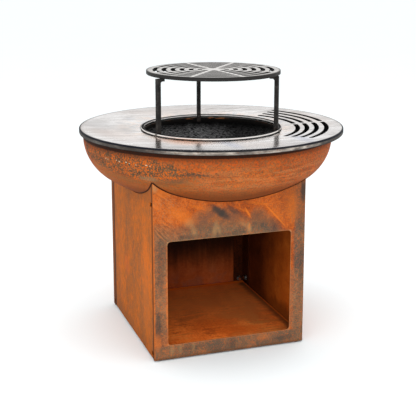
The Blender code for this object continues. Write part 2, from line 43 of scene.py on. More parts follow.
OPEN_X0, OPEN_X1, OPEN_Z0, OPEN_Z1 = -0.1905, 0.1868, 0.0459, 0.3550
GAP = 0.0003
BOWL_X, BOWL_R, BOWL_BOTTOM, BOWL_CROWN_R, BOWL_KNUCKLE_R, BOWL_T = -0.012, 0.3769, 0.4009, 0.5807, 0.1423, 0.003
PLATE_R, PLATE_HOLE_R, PLATE_TOP, PLATE_T, PLATE_DISH = 0.400, 0.2043, 0.6354, 0.015, 0.0115
SLOT_RADII, SLOT_W, SLOT_AZ, SLOT_BRIDGE = (0.2635, 0.2910, 0.3200, 0.3495), 0.0135, (-55.5, -7.9, 35.4), 0.011
RACK_RING_R, RACK_ROD_R = 0.2090, 0.0045
LEG_AZ = {"rear": 82.4, "left": 202.4, "right": 322.4}
LEG_R0 = 0.1983
BOLT_R, BOLT_HOLE_R, BOLT_HEAD_R, BOLT_HEAD_H = 0.0020, 0.0023, 0.00425, 0.0026
GRATE_X, GRATE_R, GRATE_TOP, GRATE_T = 0.007, 0.2027, 0.8039, 0.0115
GRATE_RINGS = (0.200, 0.334, 0.470, 0.605, 0.738, 0.872)
GRATE_SLOT_W, GRATE_SPOKES, GRATE_SPOKE_AZ, GRATE_SPOKE_W = 0.0125, 8, 7.0, 0.011
FOOT_X, FOOT_Y, FOOT_R, FOOT_H, FOOT_STEM_R, FOOT_STEM_TOP = 0.212, 0.234, 0.012, 0.004, 0.0037, 0.0125

scene = bpy.context.scene
col = scene.collection


def dish(r):
    return PLATE_DISH * (max(PLATE_R - r, 0.0) / (PLATE_R - PLATE_HOLE_R)) ** 1.5


# ---------------------------------------------------------------- camera and light
F_PX, SHIFT_PX, FRAME_PX = 944.93, 41.6, 416.0
CAM_AZ, CAM_PITCH = math.radians(-18.87), 0.2185
CAM_POS = Vector((-0.9284, -2.6868, 1.1355))

cam_data = bpy.data.cameras.new("camera")
cam = bpy.data.objects.new("camera", cam_data)
col.objects.link(cam)
cam_data.sensor_width = 36.0
cam_data.lens = 36.0 * F_PX / FRAME_PX
cam_data.shift_y = -SHIFT_PX / FRAME_PX
cam.location = CAM_POS
look = Vector((-math.sin(CAM_AZ) * math.cos(CAM_PITCH), math.cos(CAM_AZ) * math.cos(CAM_PITCH), -math.sin(CAM_PITCH)))
cam.rotation_euler = look.to_track_quat('-Z', 'Y').to_euler()
cam_data.clip_end = 50
scene.camera = cam

scene.view_settings.view_transform = 'Standard'
scene.view_settings.look = 'None'

world = bpy.data.worlds.new("studio")
scene.world = world
world.use_nodes = True
bg = world.node_tree.nodes["Background"]
bg.inputs["Color"].default_value = (1.0, 1.0, 1.0, 1.0)
bg.inputs["Strength"].default_value = 1.08


def area(name, location, target, size, power, colour=(1, 1, 1), size_y=None):
    data = bpy.data.lights.new(name, 'AREA')
    data.energy = power
    data.size = size
    data.color = colour
    if size_y:
        data.shape = 'RECTANGLE'
        data.size_y = size_y
    obj = bpy.data.objects.new(name, data)
    obj.location = location
    obj.rotation_euler = (Vector(target) - Vector(location)).to_track_quat('-Z', 'Y').to_euler()
    col.objects.link(obj)
    return obj


area("top", (0, -0.4, 4.2), (0, 0, 0), 3.4, 56)
for low_light in (area("key", (-2.2, -2.4, 2.2), (0, 0, 0.4), 1.8, 12),
                  area("front", (-0.9, -3.4, 0.95), (0, 0, 0.2), 1.2, 20)):
    low_light.visible_glossy = False     # else the plate glares when it is seen from behind


# ---------------------------------------------------------------- mesh helpers
def new_object(name, bm, smooth=35.0):
    bmesh.ops.recalc_face_normals(bm, faces=bm.faces)
    mesh = bpy.data.meshes.new(name)
    bm.to_mesh(mesh)
    bm.free()
    mesh.shade_smooth()
    mesh.set_sharp_from_angle(angle=math.radians(smooth))
    obj = bpy.data.objects.new(name, mesh)
    col.objects.link(obj)
    return obj


def lathe(name, profile, steps, smooth=35.0, centre=(0.0, 0.0)):
    """Turns (r, z) points about Z; a profile that doesn't meet the axis is closed on itself."""
    bm = bmesh.new()
    closed = profile[0][0] > 1e-9 and profile[-1][0] > 1e-9
    rings = []
    for r, z in profile:
        if r <= 1e-9:
            rings.append([bm.verts.new((centre[0], centre[1], z))])
        else:
            rings.append([bm.verts.new((centre[0] + r * math.cos(2 * math.pi * i / steps),
                                        centre[1] + r * math.sin(2 * math.pi * i / steps), z)) for i in range(steps)])
    pairs = list(zip(rings, rings[1:])) + ([(rings[-1], rings[0])] if closed else [])
    for a, b in pairs:
        for i in range(steps):
            j = (i + 1) % steps
            if len(a) == 1:
                bm.faces.new((a[0], b[i], b[j]))
            elif len(b) == 1:
                bm.faces.new((a[i], b[0], a[j]))
            else:
                bm.faces.new((a[i], b[i], b[j], a[j]))
    return new_object(name, bm, smooth)


def arc(cx, cy, radius, a0, a1, count):
    return [(cx + radius * math.cos(math.radians(a0 + (a1 - a0) * i / count)),
             cy + radius * math.sin(math.radians(a0 + (a1 - a0) * i / count))) for i in range(count + 1)]


def ring_slot(radius, a0, a1, width, grow, step):
    """A curved slot with round ends, its outline grown outwards by grow."""
    cap = math.degrees(width / 2 / radius)
    b0, b1 = a0 + cap, a1 - cap
    half = width / 2 + grow
    count = max(3, round((b1 - b0) / step))
    loop = arc(0, 0, radius + half, b0, b1, count)
    for end, sign in ((b1, 1), (b0, -1)):
        e = math.radians(end)
        for k in range(1, 8):
            t = math.radians(22.5 * k)
            out, along = sign * half * math.cos(t), sign * half * math.sin(t)
            loop.append(((radius + out) * math.cos(e) - along * math.sin(e),
                         (radius + out) * math.sin(e) + along * math.cos(e)))
        if sign > 0:
            loop += arc(0, 0, radius - half, b1, b0, count)
    return loop


def vert_loop(bm, points, height):
    return [bm.verts.new((x, y, height(x, y) if callable(height) else height)) for x, y in points]


def bridge(bm, a, b):
    n = len(a)
    for i in range(n):
        j = (i + 1) % n
        bm.faces.new((a[i], a[j], b[j], b[i]))


def fill(bm, loops):
    edges = []
    for loop in loops:
        for i in range(len(loop)):
            pair = (loop[i], loop[(i + 1) % len(loop)])
            edges.append(bm.edges.get(pair) or bm.edges.new(pair))
    return bmesh.ops.triangle_fill(bm, use_beauty=True, use_dissolve=False, edges=edges)


# ---------------------------------------------------------------- fire bowl
KNUCKLE_AXIS_R = BOWL_R - BOWL_KNUCKLE_R
CROWN_Z = BOWL_BOTTOM + BOWL_CROWN_R
KNUCKLE_Z = CROWN_Z - math.sqrt((BOWL_CROWN_R - BOWL_KNUCKLE_R) ** 2 - KNUCKLE_AXIS_R ** 2)
TANGENT = math.degrees(math.asin(KNUCKLE_AXIS_R / (BOWL_CROWN_R - BOWL_KNUCKLE_R)))
BOWL_TOP = PLATE_TOP - PLATE_T - dish(BOWL_R - BOWL_T - abs(BOWL_X) - 0.004) - GAP


def bowl_side(t):
    crown = arc(0, CROWN_Z, BOWL_CROWN_R - t, -90, -90 + TANGENT, 22)
    knuckle = arc(KNUCKLE_AXIS_R, KNUCKLE_Z, BOWL_KNUCKLE_R - t, -90 + TANGENT, 0, 22)
    return [(0, crown[0][1])] + crown[1:] + knuckle[1:]


inner, outer = bowl_side(BOWL_T), bowl_side(0)
rim = [(BOWL_R - BOWL_T, BOWL_TOP - 0.0007), (BOWL_R - BOWL_T + 0.0007, BOWL_TOP),
       (BOWL_R - 0.0007, BOWL_TOP), (BOWL_R, BOWL_TOP - 0.0007)]
bowl = lathe("fire_bowl_shell", inner + rim + outer[::-1], 200, centre=(BOWL_X, 0))
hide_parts("fire_bowl")
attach(bowl, "bowl")


# ---------------------------------------------------------------- plancha: a polar grid with the slots let in
def build_plancha():
    bm = bmesh.new()
    edge = 0.0012                       # rounding of the slot and hole edges
    margin = 0.0030
    slots = []
    for radius in SLOT_RADII:
        half = math.degrees(SLOT_BRIDGE / 2 / radius)
        slots.append((radius, SLOT_AZ[0], SLOT_AZ[1] - half))
        slots.append((radius, SLOT_AZ[1] + half, SLOT_AZ[2]))
    radii = [PLATE_HOLE_R + edge, 0.213, 0.224, 0.236, 0.246]
    for radius in SLOT_RADII:
        radii += [radius - SLOT_W / 2 - margin, radius + SLOT_W / 2 + margin]
    radii += [0.372, 0.385, PLATE_R - 0.0030]
    # angles: every 2 degrees, and the ends of each slot's patch
    patches = []
    for radius, a0, a1 in slots:
        extra = math.degrees(margin / radius)
        patches.append((radius, a0 - extra, a1 + extra))
    angles = [2.0 * i for i in range(180)]
    ends = sorted({round(a % 360, 6) for _, p0, p1 in patches for a in (p0, p1)})
    angles = [a for a in angles if all(min(abs(a - e), 360 - abs(a - e)) > 0.45 for e in ends)]
    merged = []
    for e in ends:                      # patch ends that lie close together share one line
        if merged and e - merged[-1][-1] < 0.35:
            merged[-1].append(e)
        else:
            merged.append([e])
    snap = {e: sum(g) / len(g) for g in merged for e in g}
    angles = sorted(set(angles) | set(snap.values()))
    n, m = len(angles), len(radii)

    def side(height_of, sign):
        """One face of the plate; sign (+1 top, -1 underside) is not used. Returns its hole loop, rim loop and slot
        loops.
        """
        grid = [[bm.verts.new((r * math.cos(math.radians(a)), r * math.sin(math.radians(a)), height_of(r)))
                 for a in angles] for r in radii]
        skip = set()
        loops = []
        for (radius, p0, p1), (_, a0, a1) in zip(patches, slots):
            i0, i1 = radii.index(radius - SLOT_W / 2 - margin), radii.index(radius + SLOT_W / 2 + margin)
            s0, s1 = snap[round(p0 % 360, 6)], snap[round(p1 % 360, 6)]
            j = angles.index(s0)
            last = angles.index(s1)
            run = [j]
            while j != last:
                skip.add((i0, j))
                j = (j + 1) % n
                run.append(j)
            border = [grid[i0][k] for k in run] + [grid[i1][k] for k in reversed(run)]
            points = ring_slot(radius, a0, a1, SLOT_W, edge, 2.0)
            loop = vert_loop(bm, points, lambda x, y: height_of(math.hypot(x, y)))
            fill(bm, [border, loop])
            loops.append((loop, (radius, a0, a1)))
        for i in range(m - 1):
            for j in range(n):
                if (i, j) in skip:
                    continue
                k = (j + 1) % n
                bm.faces.new((grid[i][j], grid[i][k], grid[i + 1][k], grid[i + 1][j]))
        return grid[0], grid[-1], loops

    def top(r):
        return PLATE_TOP - dish(r)

    def low(r):
        return PLATE_TOP - PLATE_T - dish(r)

    t_hole, t_rim, t_slots = side(top, 1)
    b_hole, b_rim, b_slots = side(low, -1)

    def ring(r, z):
        return [bm.verts.new((r * math.cos(math.radians(a)), r * math.sin(math.radians(a)), z)) for a in angles]

    # the hole's wall and the rim, each with rounded edges
    zt, zb = top(PLATE_HOLE_R + edge), low(PLATE_HOLE_R + edge)
    chain = [t_hole]
    for k in (1, 2, 3):
        t = math.radians(30 * k)
        chain.append(ring(PLATE_HOLE_R + edge - edge * math.sin(t), zt - edge + edge * math.cos(t)))
    for k in (0, 1, 2):
        t = math.radians(90 - 30 * k)
        chain.append(ring(PLATE_HOLE_R + edge - edge * math.sin(t), zb + edge - edge * math.cos(t)))
    chain.append(b_hole)
    for a, b in zip(chain, chain[1:]):
        bridge(bm, a, b)
    rim_round = 0.0030
    chain = [t_rim]
    for k in range(1, 5):
        t = math.radians(22.5 * k)
        chain.append(ring(PLATE_R - rim_round + rim_round * math.sin(t), PLATE_TOP - rim_round + rim_round * math.cos(t)))
    for k in range(0, 4):
        t = math.radians(90 - 22.5 * k)
        chain.append(ring(PLATE_R - rim_round + rim_round * math.sin(t),
                          PLATE_TOP - PLATE_T + rim_round - rim_round * math.cos(t)))
    chain.append(b_rim)
    for a, b in zip(chain, chain[1:]):
        bridge(bm, a, b)
    for (t_loop, spec), (b_loop, _) in zip(t_slots, b_slots):
        radius, a0, a1 = spec
        chain = [t_loop]
        for k in (1, 2, 3):
            t = math.radians(30 * k)
            pts = ring_slot(radius, a0, a1, SLOT_W, edge - edge * math.sin(t), 2.0)
            chain.append(vert_loop(bm, pts, lambda x, y, t=t: top(math.hypot(x, y)) - edge + edge * math.cos(t)))
        for k in (0, 1, 2):
            t = math.radians(90 - 30 * k)
            pts = ring_slot(radius, a0, a1, SLOT_W, edge - edge * math.sin(t), 2.0)
            chain.append(vert_loop(bm, pts, lambda x, y, t=t: low(math.hypot(x, y)) + edge - edge * math.cos(t)))
        chain.append(b_loop)
        for a, b in zip(chain, chain[1:]):
            bridge(bm, a, b)
    return new_object("plancha_steel_plate", bm, 40.0)


plancha = build_plancha()
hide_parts("plancha_plate")
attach(plancha, "plancha")


# ---------------------------------------------------------------- grate with rounded bars
def build_grate():
    bm = bmesh.new()
    soft = 0.0016

    def slot_points(radius, a0, a1, grow):
        r_in, r_out = radius - GRATE_SLOT_W / 2 - grow, radius + GRATE_SLOT_W / 2 + grow
        w = GRATE_SPOKE_W / 2 - grow
        corner = 0.0022 + grow          # the corners are cast round
        pts = []
        steps = max(3, round(radius * math.radians(a1 - a0) / 0.006))

        def at(r, a, inward):
            return (r * math.cos(a), r * math.sin(a))
        o0, o1 = math.radians(a0) + math.asin(w / r_out), math.radians(a1) - math.asin(w / r_out)
        n0, n1 = math.radians(a0) + math.asin(w / r_in), math.radians(a1) - math.asin(w / r_in)
        co, ci = corner / r_out, corner / r_in
        for i in range(steps + 1):
            pts.append(at(r_out, o0 + co + (o1 - o0 - 2 * co) * i / steps, 0))
        mid = r_out - corner * 0.29
        pts.append(at(mid, math.radians(a1) - math.asin(w / mid) - corner * 0.29 / mid, 0))
        for r in (r_out - corner, r_in + corner):
            pts.append(at(r, math.radians(a1) - math.asin(w / r), 0))
        mid = r_in + corner * 0.29
        pts.append(at(mid, math.radians(a1) - math.asin(w / mid) - corner * 0.29 / mid, 0))
        for i in range(steps + 1):
            pts.append(at(r_in, n1 - ci - (n1 - n0 - 2 * ci) * i / steps, 0))
        pts.append(at(mid, math.radians(a0) + math.asin(w / mid) + corner * 0.29 / mid, 0))
        for r in (r_in + corner, r_out - corner):
            pts.append(at(r, math.radians(a0) + math.asin(w / r), 0))
        mid = r_out - corner * 0.29
        pts.append(at(mid, math.radians(a0) + math.asin(w / mid) + corner * 0.29 / mid, 0))
        return pts

    def circle(r):
        return [(r * math.cos(2 * math.pi * i / 160), r * math.sin(2 * math.pi * i / 160)) for i in range(160)]

    specs = []
    for share in GRATE_RINGS:
        for k in range(GRATE_SPOKES):
            a0 = GRATE_SPOKE_AZ + 360 / GRATE_SPOKES * k
            specs.append((share * GRATE_R, a0, a0 + 360 / GRATE_SPOKES))
    levels = []
    for k in range(4):
        t = math.radians(30 * k)
        levels.append((soft - soft * math.sin(t), GRATE_TOP - soft + soft * math.cos(t)))
    for k in range(4):
        t = math.radians(90 - 30 * k)
        levels.append((soft - soft * math.sin(t), GRATE_TOP - GRATE_T + soft - soft * math.cos(t)))
    chains = []
    for spec in specs:
        chains.append([vert_loop(bm, slot_points(*spec, grow), z) for grow, z in levels])
    chains.append([vert_loop(bm, circle(GRATE_R - grow), z) for grow, z in levels])
    for chain in chains:
        for a, b in zip(chain, chain[1:]):
            bridge(bm, a, b)
    fill(bm, [chain[0] for chain in chains])
    fill(bm, [chain[-1] for chain in chains])
    for v in bm.verts:
        v.co.x += GRATE_X
    return new_object("grate_iron", bm, 50.0)


grate = build_grate()
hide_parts("grate")
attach(grate, "grate_body")

# ---------------------------------------------------------------- rack ring, bolts, glides
ring_z = PLATE_TOP - dish(RACK_RING_R) + RACK_ROD_R + GAP
bm = bmesh.new()
major, minor = 180, 20
tube = [[bm.verts.new(((RACK_RING_R + RACK_ROD_R * math.cos(2 * math.pi * j / minor)) * math.cos(2 * math.pi * i / major),
                       (RACK_RING_R + RACK_ROD_R * math.cos(2 * math.pi * j / minor)) * math.sin(2 * math.pi * i / major),
                       ring_z + RACK_ROD_R * math.sin(2 * math.pi * j / minor))) for j in range(minor)]
        for i in range(major)]
for i in range(major):
    bridge(bm, tube[i], tube[(i + 1) % major])
rack_ring = new_object("rack_ring_rod", bm, 60.0)
for tag, az in LEG_AZ.items():
    c, s = math.cos(math.radians(az)), math.sin(math.radians(az))
    bpy.ops.mesh.primitive_cylinder_add(vertices=20, radius=BOLT_HOLE_R, depth=0.03,
                                        location=(RACK_RING_R * c, RACK_RING_R * s, ring_z),
                                        rotation=(0, math.radians(90), math.radians(az)))
    cutter = bpy.context.active_object
    cutter.name = "cut_" + tag
    mod = rack_ring.modifiers.new("bolt_hole", 'BOOLEAN')
    mod.operation, mod.solver, mod.object = 'DIFFERENCE', 'EXACT', cutter
deps = bpy.context.evaluated_depsgraph_get()
holed = bpy.data.meshes.new_from_object(rack_ring.evaluated_get(deps))
rack_ring.modifiers.clear()
rack_ring.data = holed
holed.shade_smooth()
holed.set_sharp_from_angle(angle=math.radians(50))
for tag in LEG_AZ:
    bpy.data.objects.remove(bpy.data.objects["cut_" + tag], do_unlink=True)
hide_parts("rack_ring")
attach(rack_ring, "rack")

shank = RACK_RING_R + RACK_ROD_R + GAP - LEG_R0 - 0.001
bolts = []
for tag, az in LEG_AZ.items():
    dome = [(BOLT_HEAD_R * math.cos(math.radians(a)), shank + 0.0006 + (BOLT_HEAD_H - 0.0006) * math.sin(math.radians(a)))
            for a in range(0, 90, 15)]
    recess = [(0.0014, shank + BOLT_HEAD_H - 0.0001), (0.0013, shank + 0.0012), (0, shank + 0.0012)]
    profile = [(0, 0), (BOLT_R - 0.0003, 0), (BOLT_R, 0.0003), (BOLT_R, shank), (BOLT_HEAD_R, shank)] + dome + recess
    bolt = lathe("leg_bolt_round_" + tag, profile, 28)
    bolt.data.transform(Matrix.Rotation(math.radians(az), 4, 'Z') @ Matrix.Translation((LEG_R0 + 0.001, 0, ring_z))
                        @ Matrix.Rotation(math.radians(90), 4, 'Y'))
    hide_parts("leg_bolt_" + tag)
    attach(bolt, "rack")
    bolts.append(bolt)

glides = []
for tag, sx, sy in (("front_left", -1, -1), ("front_right", 1, -1), ("rear_left", -1, 1), ("rear_right", 1, 1)):
    profile = [(0, 0), (FOOT_R - 0.0016, 0), (FOOT_R - 0.0005, 0.0005), (FOOT_R, 0.0016), (FOOT_R, FOOT_H - 0.0009),
               (FOOT_R - 0.0006, FOOT_H - GAP), (FOOT_STEM_R, FOOT_H - GAP), (FOOT_STEM_R, FOOT_STEM_TOP - 0.0008),
               (FOOT_STEM_R - 0.0008, FOOT_STEM_TOP), (0, FOOT_STEM_TOP)]
    glide = lathe("glide_" + tag, profile, 40, centre=(CAB_X + sx * FOOT_X, sy * FOOT_Y))
    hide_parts("foot_" + tag)
    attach(glide, "cabinet")
    glides.append(glide)


# ---------------------------------------------------------------- log floor with bent edges
def build_shelf():
    bm = bmesh.new()
    sx, sy, base, top, thick, bend = HX - SHEET - 0.0015, HY - SHEET - 0.0015, 0.0073, 0.0312, 0.0025, 0.0032

    def outline(inset, corner):
        hx, hy = sx - inset, sy - inset
        pts = []
        for cx, cy, a in ((hx - corner, hy - corner, 0), (-hx + corner, hy - corner, 90),
                          (-hx + corner, -hy + corner, 180), (hx - corner, -hy + corner, 270)):
            pts += [(CAB_X + cx + x, cy + y) for x, y in arc(0, 0, corner, a, a + 90, 5)]
        return pts
    outer = [vert_loop(bm, outline(0, 0.0034), base)]
    for k in range(7):
        t = math.radians(15 * k)
        inset = bend - bend * math.cos(t)
        outer.append(vert_loop(bm, outline(inset, 0.0034 - inset * 0.9), top - bend + bend * math.sin(t)))
    inner = [vert_loop(bm, outline(thick, 0.0009), base)]
    small = bend - thick
    for k in range(4):
        t = math.radians(30 * k)
        inset = thick + small - small * math.cos(t)
        inner.append(vert_loop(bm, outline(inset, 0.0009 + (inset - thick) * 0.1), top - bend + small * math.sin(t)))
    for chain in (outer, inner):
        for a, b in zip(chain, chain[1:]):
            bridge(bm, a, b)
    bridge(bm, outer[0], inner[0])
    fill(bm, [outer[-1]])
    fill(bm, [inner[-1]])
    return new_object("log_floor_tray", bm, 40.0)


shelf = build_shelf()
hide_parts("floor_shelf")
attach(shelf, "cabinet")


# ---------------------------------------------------------------- node helpers
class Paint:
    """A material's node tree with short names for what the finishes are made of. Coordinates are metres."""

    def __init__(self, name):
        self.mat = bpy.data.materials.new(name)
        self.mat.use_nodes = True
        self.tree = self.mat.node_tree
        self.bsdf = self.tree.nodes["Principled BSDF"]
        self.coord = self.tree.nodes.new("ShaderNodeTexCoord").outputs["Object"]
        split = self.tree.nodes.new("ShaderNodeSeparateXYZ")
        self.tree.links.new(self.coord, split.inputs[0])
        self.x, self.y, self.z = split.outputs[0], split.outputs[1], split.outputs[2]
        geo = self.tree.nodes.new("ShaderNodeNewGeometry")
        flat = self.tree.nodes.new("ShaderNodeSeparateXYZ")
        self.tree.links.new(geo.outputs["True Normal"], flat.inputs[0])
        self.nx, self.ny, self.nz = flat.outputs[0], flat.outputs[1], flat.outputs[2]

    def put(self, socket, value):
        if isinstance(value, (int, float)):
            socket.default_value = value
        elif isinstance(value, tuple):
            socket.default_value = value if len(value) == len(socket.default_value) else (*value, 1.0)
        else:
            self.tree.links.new(value, socket)

    def math(self, op, a, b=0.0, c=0.0, clamp=False):
        node = self.tree.nodes.new("ShaderNodeMath")
        node.operation = op
        node.use_clamp = clamp
        for socket, value in zip(node.inputs, (a, b, c)):
            self.put(socket, value)
        return node.outputs[0]

    def add(self, a, b): return self.math('ADD', a, b)
    def sub(self, a, b): return self.math('SUBTRACT', a, b)
    def mul(self, a, b): return self.math('MULTIPLY', a, b)
    def clamp(self, a): return self.math('ADD', a, 0.0, clamp=True)
    def inv(self, a): return self.math('SUBTRACT', 1.0, a, clamp=True)

    def stretch(self, sx=1.0, sy=1.0, sz=1.0, rot=(0, 0, 0), shift=(0, 0, 0), vector=None):
        node = self.tree.nodes.new("ShaderNodeMapping")
        self.put(node.inputs["Vector"], vector or self.coord)
        node.inputs["Scale"].default_value = (sx, sy, sz)
        node.inputs["Rotation"].default_value = rot
        node.inputs["Location"].default_value = shift
        return node.outputs[0]

    def noise(self, scale, detail=4.0, rough=0.55, vector=None, warp=0.0, lacunarity=2.0):
        node = self.tree.nodes.new("ShaderNodeTexNoise")
        self.put(node.inputs["Vector"], vector or self.coord)
        node.inputs["Scale"].default_value = scale
        node.inputs["Detail"].default_value = detail
        node.inputs["Roughness"].default_value = rough
        node.inputs["Distortion"].default_value = warp
        node.inputs["Lacunarity"].default_value = lacunarity
        return node.outputs["Fac"]

    def cells(self, scale, vector=None, feature='F1', random=1.0, output="Distance"):
        node = self.tree.nodes.new("ShaderNodeTexVoronoi")
        node.feature = feature
        self.put(node.inputs["Vector"], vector or self.coord)
        node.inputs["Scale"].default_value = scale
        node.inputs["Randomness"].default_value = random
        return node.outputs[output]

    def step(self, value, lo, hi, smooth=True):
        """0 below lo, 1 above hi (or the reverse if lo > hi)."""
        node = self.tree.nodes.new("ShaderNodeMapRange")
        node.interpolation_type = 'SMOOTHSTEP' if smooth else 'LINEAR'
        node.clamp = True
        self.put(node.inputs["Value"], value)
        if lo <= hi:
            node.inputs["From Min"].default_value, node.inputs["From Max"].default_value = lo, hi
            node.inputs["To Min"].default_value, node.inputs["To Max"].default_value = 0.0, 1.0
        else:
            node.inputs["From Min"].default_value, node.inputs["From Max"].default_value = hi, lo
            node.inputs["To Min"].default_value, node.inputs["To Max"].default_value = 1.0, 0.0
        return node.outputs[0]

    def mix(self, fac, a, b, blend='MIX'):
        node = self.tree.nodes.new("ShaderNodeMix")
        node.data_type = 'RGBA'
        node.blend_type = blend
        self.put(node.inputs["Factor"], fac)
        self.put(node.inputs[6], a)
        self.put(node.inputs[7], b)
        return node.outputs[2]

    def ramp(self, value, stops):
        node = self.tree.nodes.new("ShaderNodeValToRGB")
        self.put(node.inputs[0], value)
        elements = node.color_ramp.elements
        while len(elements) < len(stops):
            elements.new(0.5)
        for element, (place, colour) in zip(elements, stops):
            element.position = place
            element.color = (*colour, 1.0)
        return node.outputs[0]

    def bump(self, height, strength, distance, normal=None):
        node = self.tree.nodes.new("ShaderNodeBump")
        node.inputs["Strength"].default_value = strength
        node.inputs["Distance"].default_value = distance
        self.put(node.inputs["Height"], height)
        if normal is not None:
            self.put(node.inputs["Normal"], normal)
        return node.outputs[0]

    def finish(self, colour, rough, metallic=0.0, normal=None, **other):
        self.put(self.bsdf.inputs["Base Color"], colour)
        self.put(self.bsdf.inputs["Roughness"], rough)
        self.put(self.bsdf.inputs["Metallic"], metallic)
        if normal is not None:
            self.put(self.bsdf.inputs["Normal"], normal)
        for name, value in other.items():
            self.put(self.bsdf.inputs[name.replace("_", " ")], value)
        return self.mat


# ---------------------------------------------------------------- finishes
def srgb(r, g, b):
    """8-bit display colour to linear."""
    return tuple((c / 255 / 12.92) if c / 255 <= 0.04045 else ((c / 255 + 0.055) / 1.055) ** 2.4 for c in (r, g, b))


def rust(r, g, b):
    """A rust colour as it looks in the light used here, as an albedo."""
    r, g, b = srgb(r, g, b)
    return r * 0.78, g * 0.78, b * 0.66


def dull(r, g, b):
    """The same for the greys and browns."""
    r, g, b = srgb(r, g, b)
    return r * 0.75, g * 0.78, b * 0.71


def paint(obj, mat):
    obj.data.materials.clear()
    obj.data.materials.append(mat)


def profile(p, value, points):
    """A height along straight segments, read from (place, height) points."""
    lo, hi = points[0][0], points[-1][0]
    low, high = min(y for _, y in points), max(y for _, y in points)
    fac = p.mul(p.sub(value, lo), 1 / (hi - lo))
    grey = p.ramp(fac, [((x - lo) / (hi - lo), ((y - low) / (high - low),) * 3) for x, y in points])
    return p.add(p.mul(grey, high - low), low)


def grains(p, coarse=1.0):
    """Noise at the sizes that rust shows: clouds, blotches, crumbs, grains. Each is about 0 to 1 round 0.5."""
    cloud = p.noise(6.0, 3.0, 0.5)
    blotch = p.noise(30.0 * coarse, 5.0, 0.62, warp=0.5)
    crumb = p.noise(130.0, 4.0, 0.72)
    grain = p.noise(330.0, 3.0, 0.7)
    return cloud, blotch, crumb, grain


def blob(p, cx, cz, rx, rz, tilt=0.0, soft=0.6, axes="xz", warp=0.25, noise=None):
    """A soft patch on a sheet: 1 inside, 0 outside, its outline broken up by noise."""
    u, v = {"x": p.x, "y": p.y, "z": p.z}[axes[0]], {"x": p.x, "y": p.y, "z": p.z}[axes[1]]
    c, s = math.cos(math.radians(tilt)), math.sin(math.radians(tilt))
    du, dv = p.sub(u, cx), p.sub(v, cz)
    a = p.mul(p.add(p.mul(du, c), p.mul(dv, s)), 1 / rx)
    b = p.mul(p.sub(p.mul(dv, c), p.mul(du, s)), 1 / rz)
    d = p.math('SQRT', p.add(p.mul(a, a), p.mul(b, b)))
    if noise is not None:
        d = p.add(d, p.mul(p.sub(noise, 0.5), warp * 4))
    return p.step(d, 1.0 + soft / 2, 1.0 - soft / 2)


def rust_colour(p, noise, dark, mid, bright, contrast=1.0):
    cloud, blotch, crumb, grain = noise
    tone = p.add(p.add(p.mul(cloud, 0.22), p.mul(blotch, 0.28)), p.add(p.mul(crumb, 0.28), p.mul(grain, 0.22)))
    tone = p.add(p.mul(p.sub(tone, 0.5), 4.0 * contrast), 0.5)
    return p.ramp(tone, [(0.0, dark), (0.5, mid), (1.0, bright)])


def freckle(p, colour, amount, dark, bright, scale=300.0):
    """Grain two to four millimetres wide: single dark and bright crystals of the rust."""
    fleck = p.noise(scale, 2.0, 0.6, p.stretch(1, 1, 1, shift=(2.3, 0.7, 1.1)))
    colour = p.mix(p.mul(p.step(fleck, 0.49, 0.36), amount), colour, dark)
    return p.mix(p.mul(p.step(fleck, 0.53, 0.66), amount), colour, bright)


def rust_relief(p, noise, strength=0.35):
    cloud, blotch, crumb, grain = noise
    return p.bump(p.add(p.mul(grain, 0.45), p.add(crumb, p.mul(blotch, 0.8))), strength, 0.0010)


def smears(p, angle, pitch, across, axes="xz"):
    """Streak noise: long along `angle` (degrees in the plane of the sheet), narrow across it."""
    rot = (0, math.radians(angle), 0) if axes == "xz" else (math.radians(angle), 0, 0)
    scale = (1 / across, 1 / across, 1 / pitch)
    return p.noise(1.0, 4.0, 0.6, p.stretch(*scale, vector=p.stretch(1, 1, 1, rot=rot)))


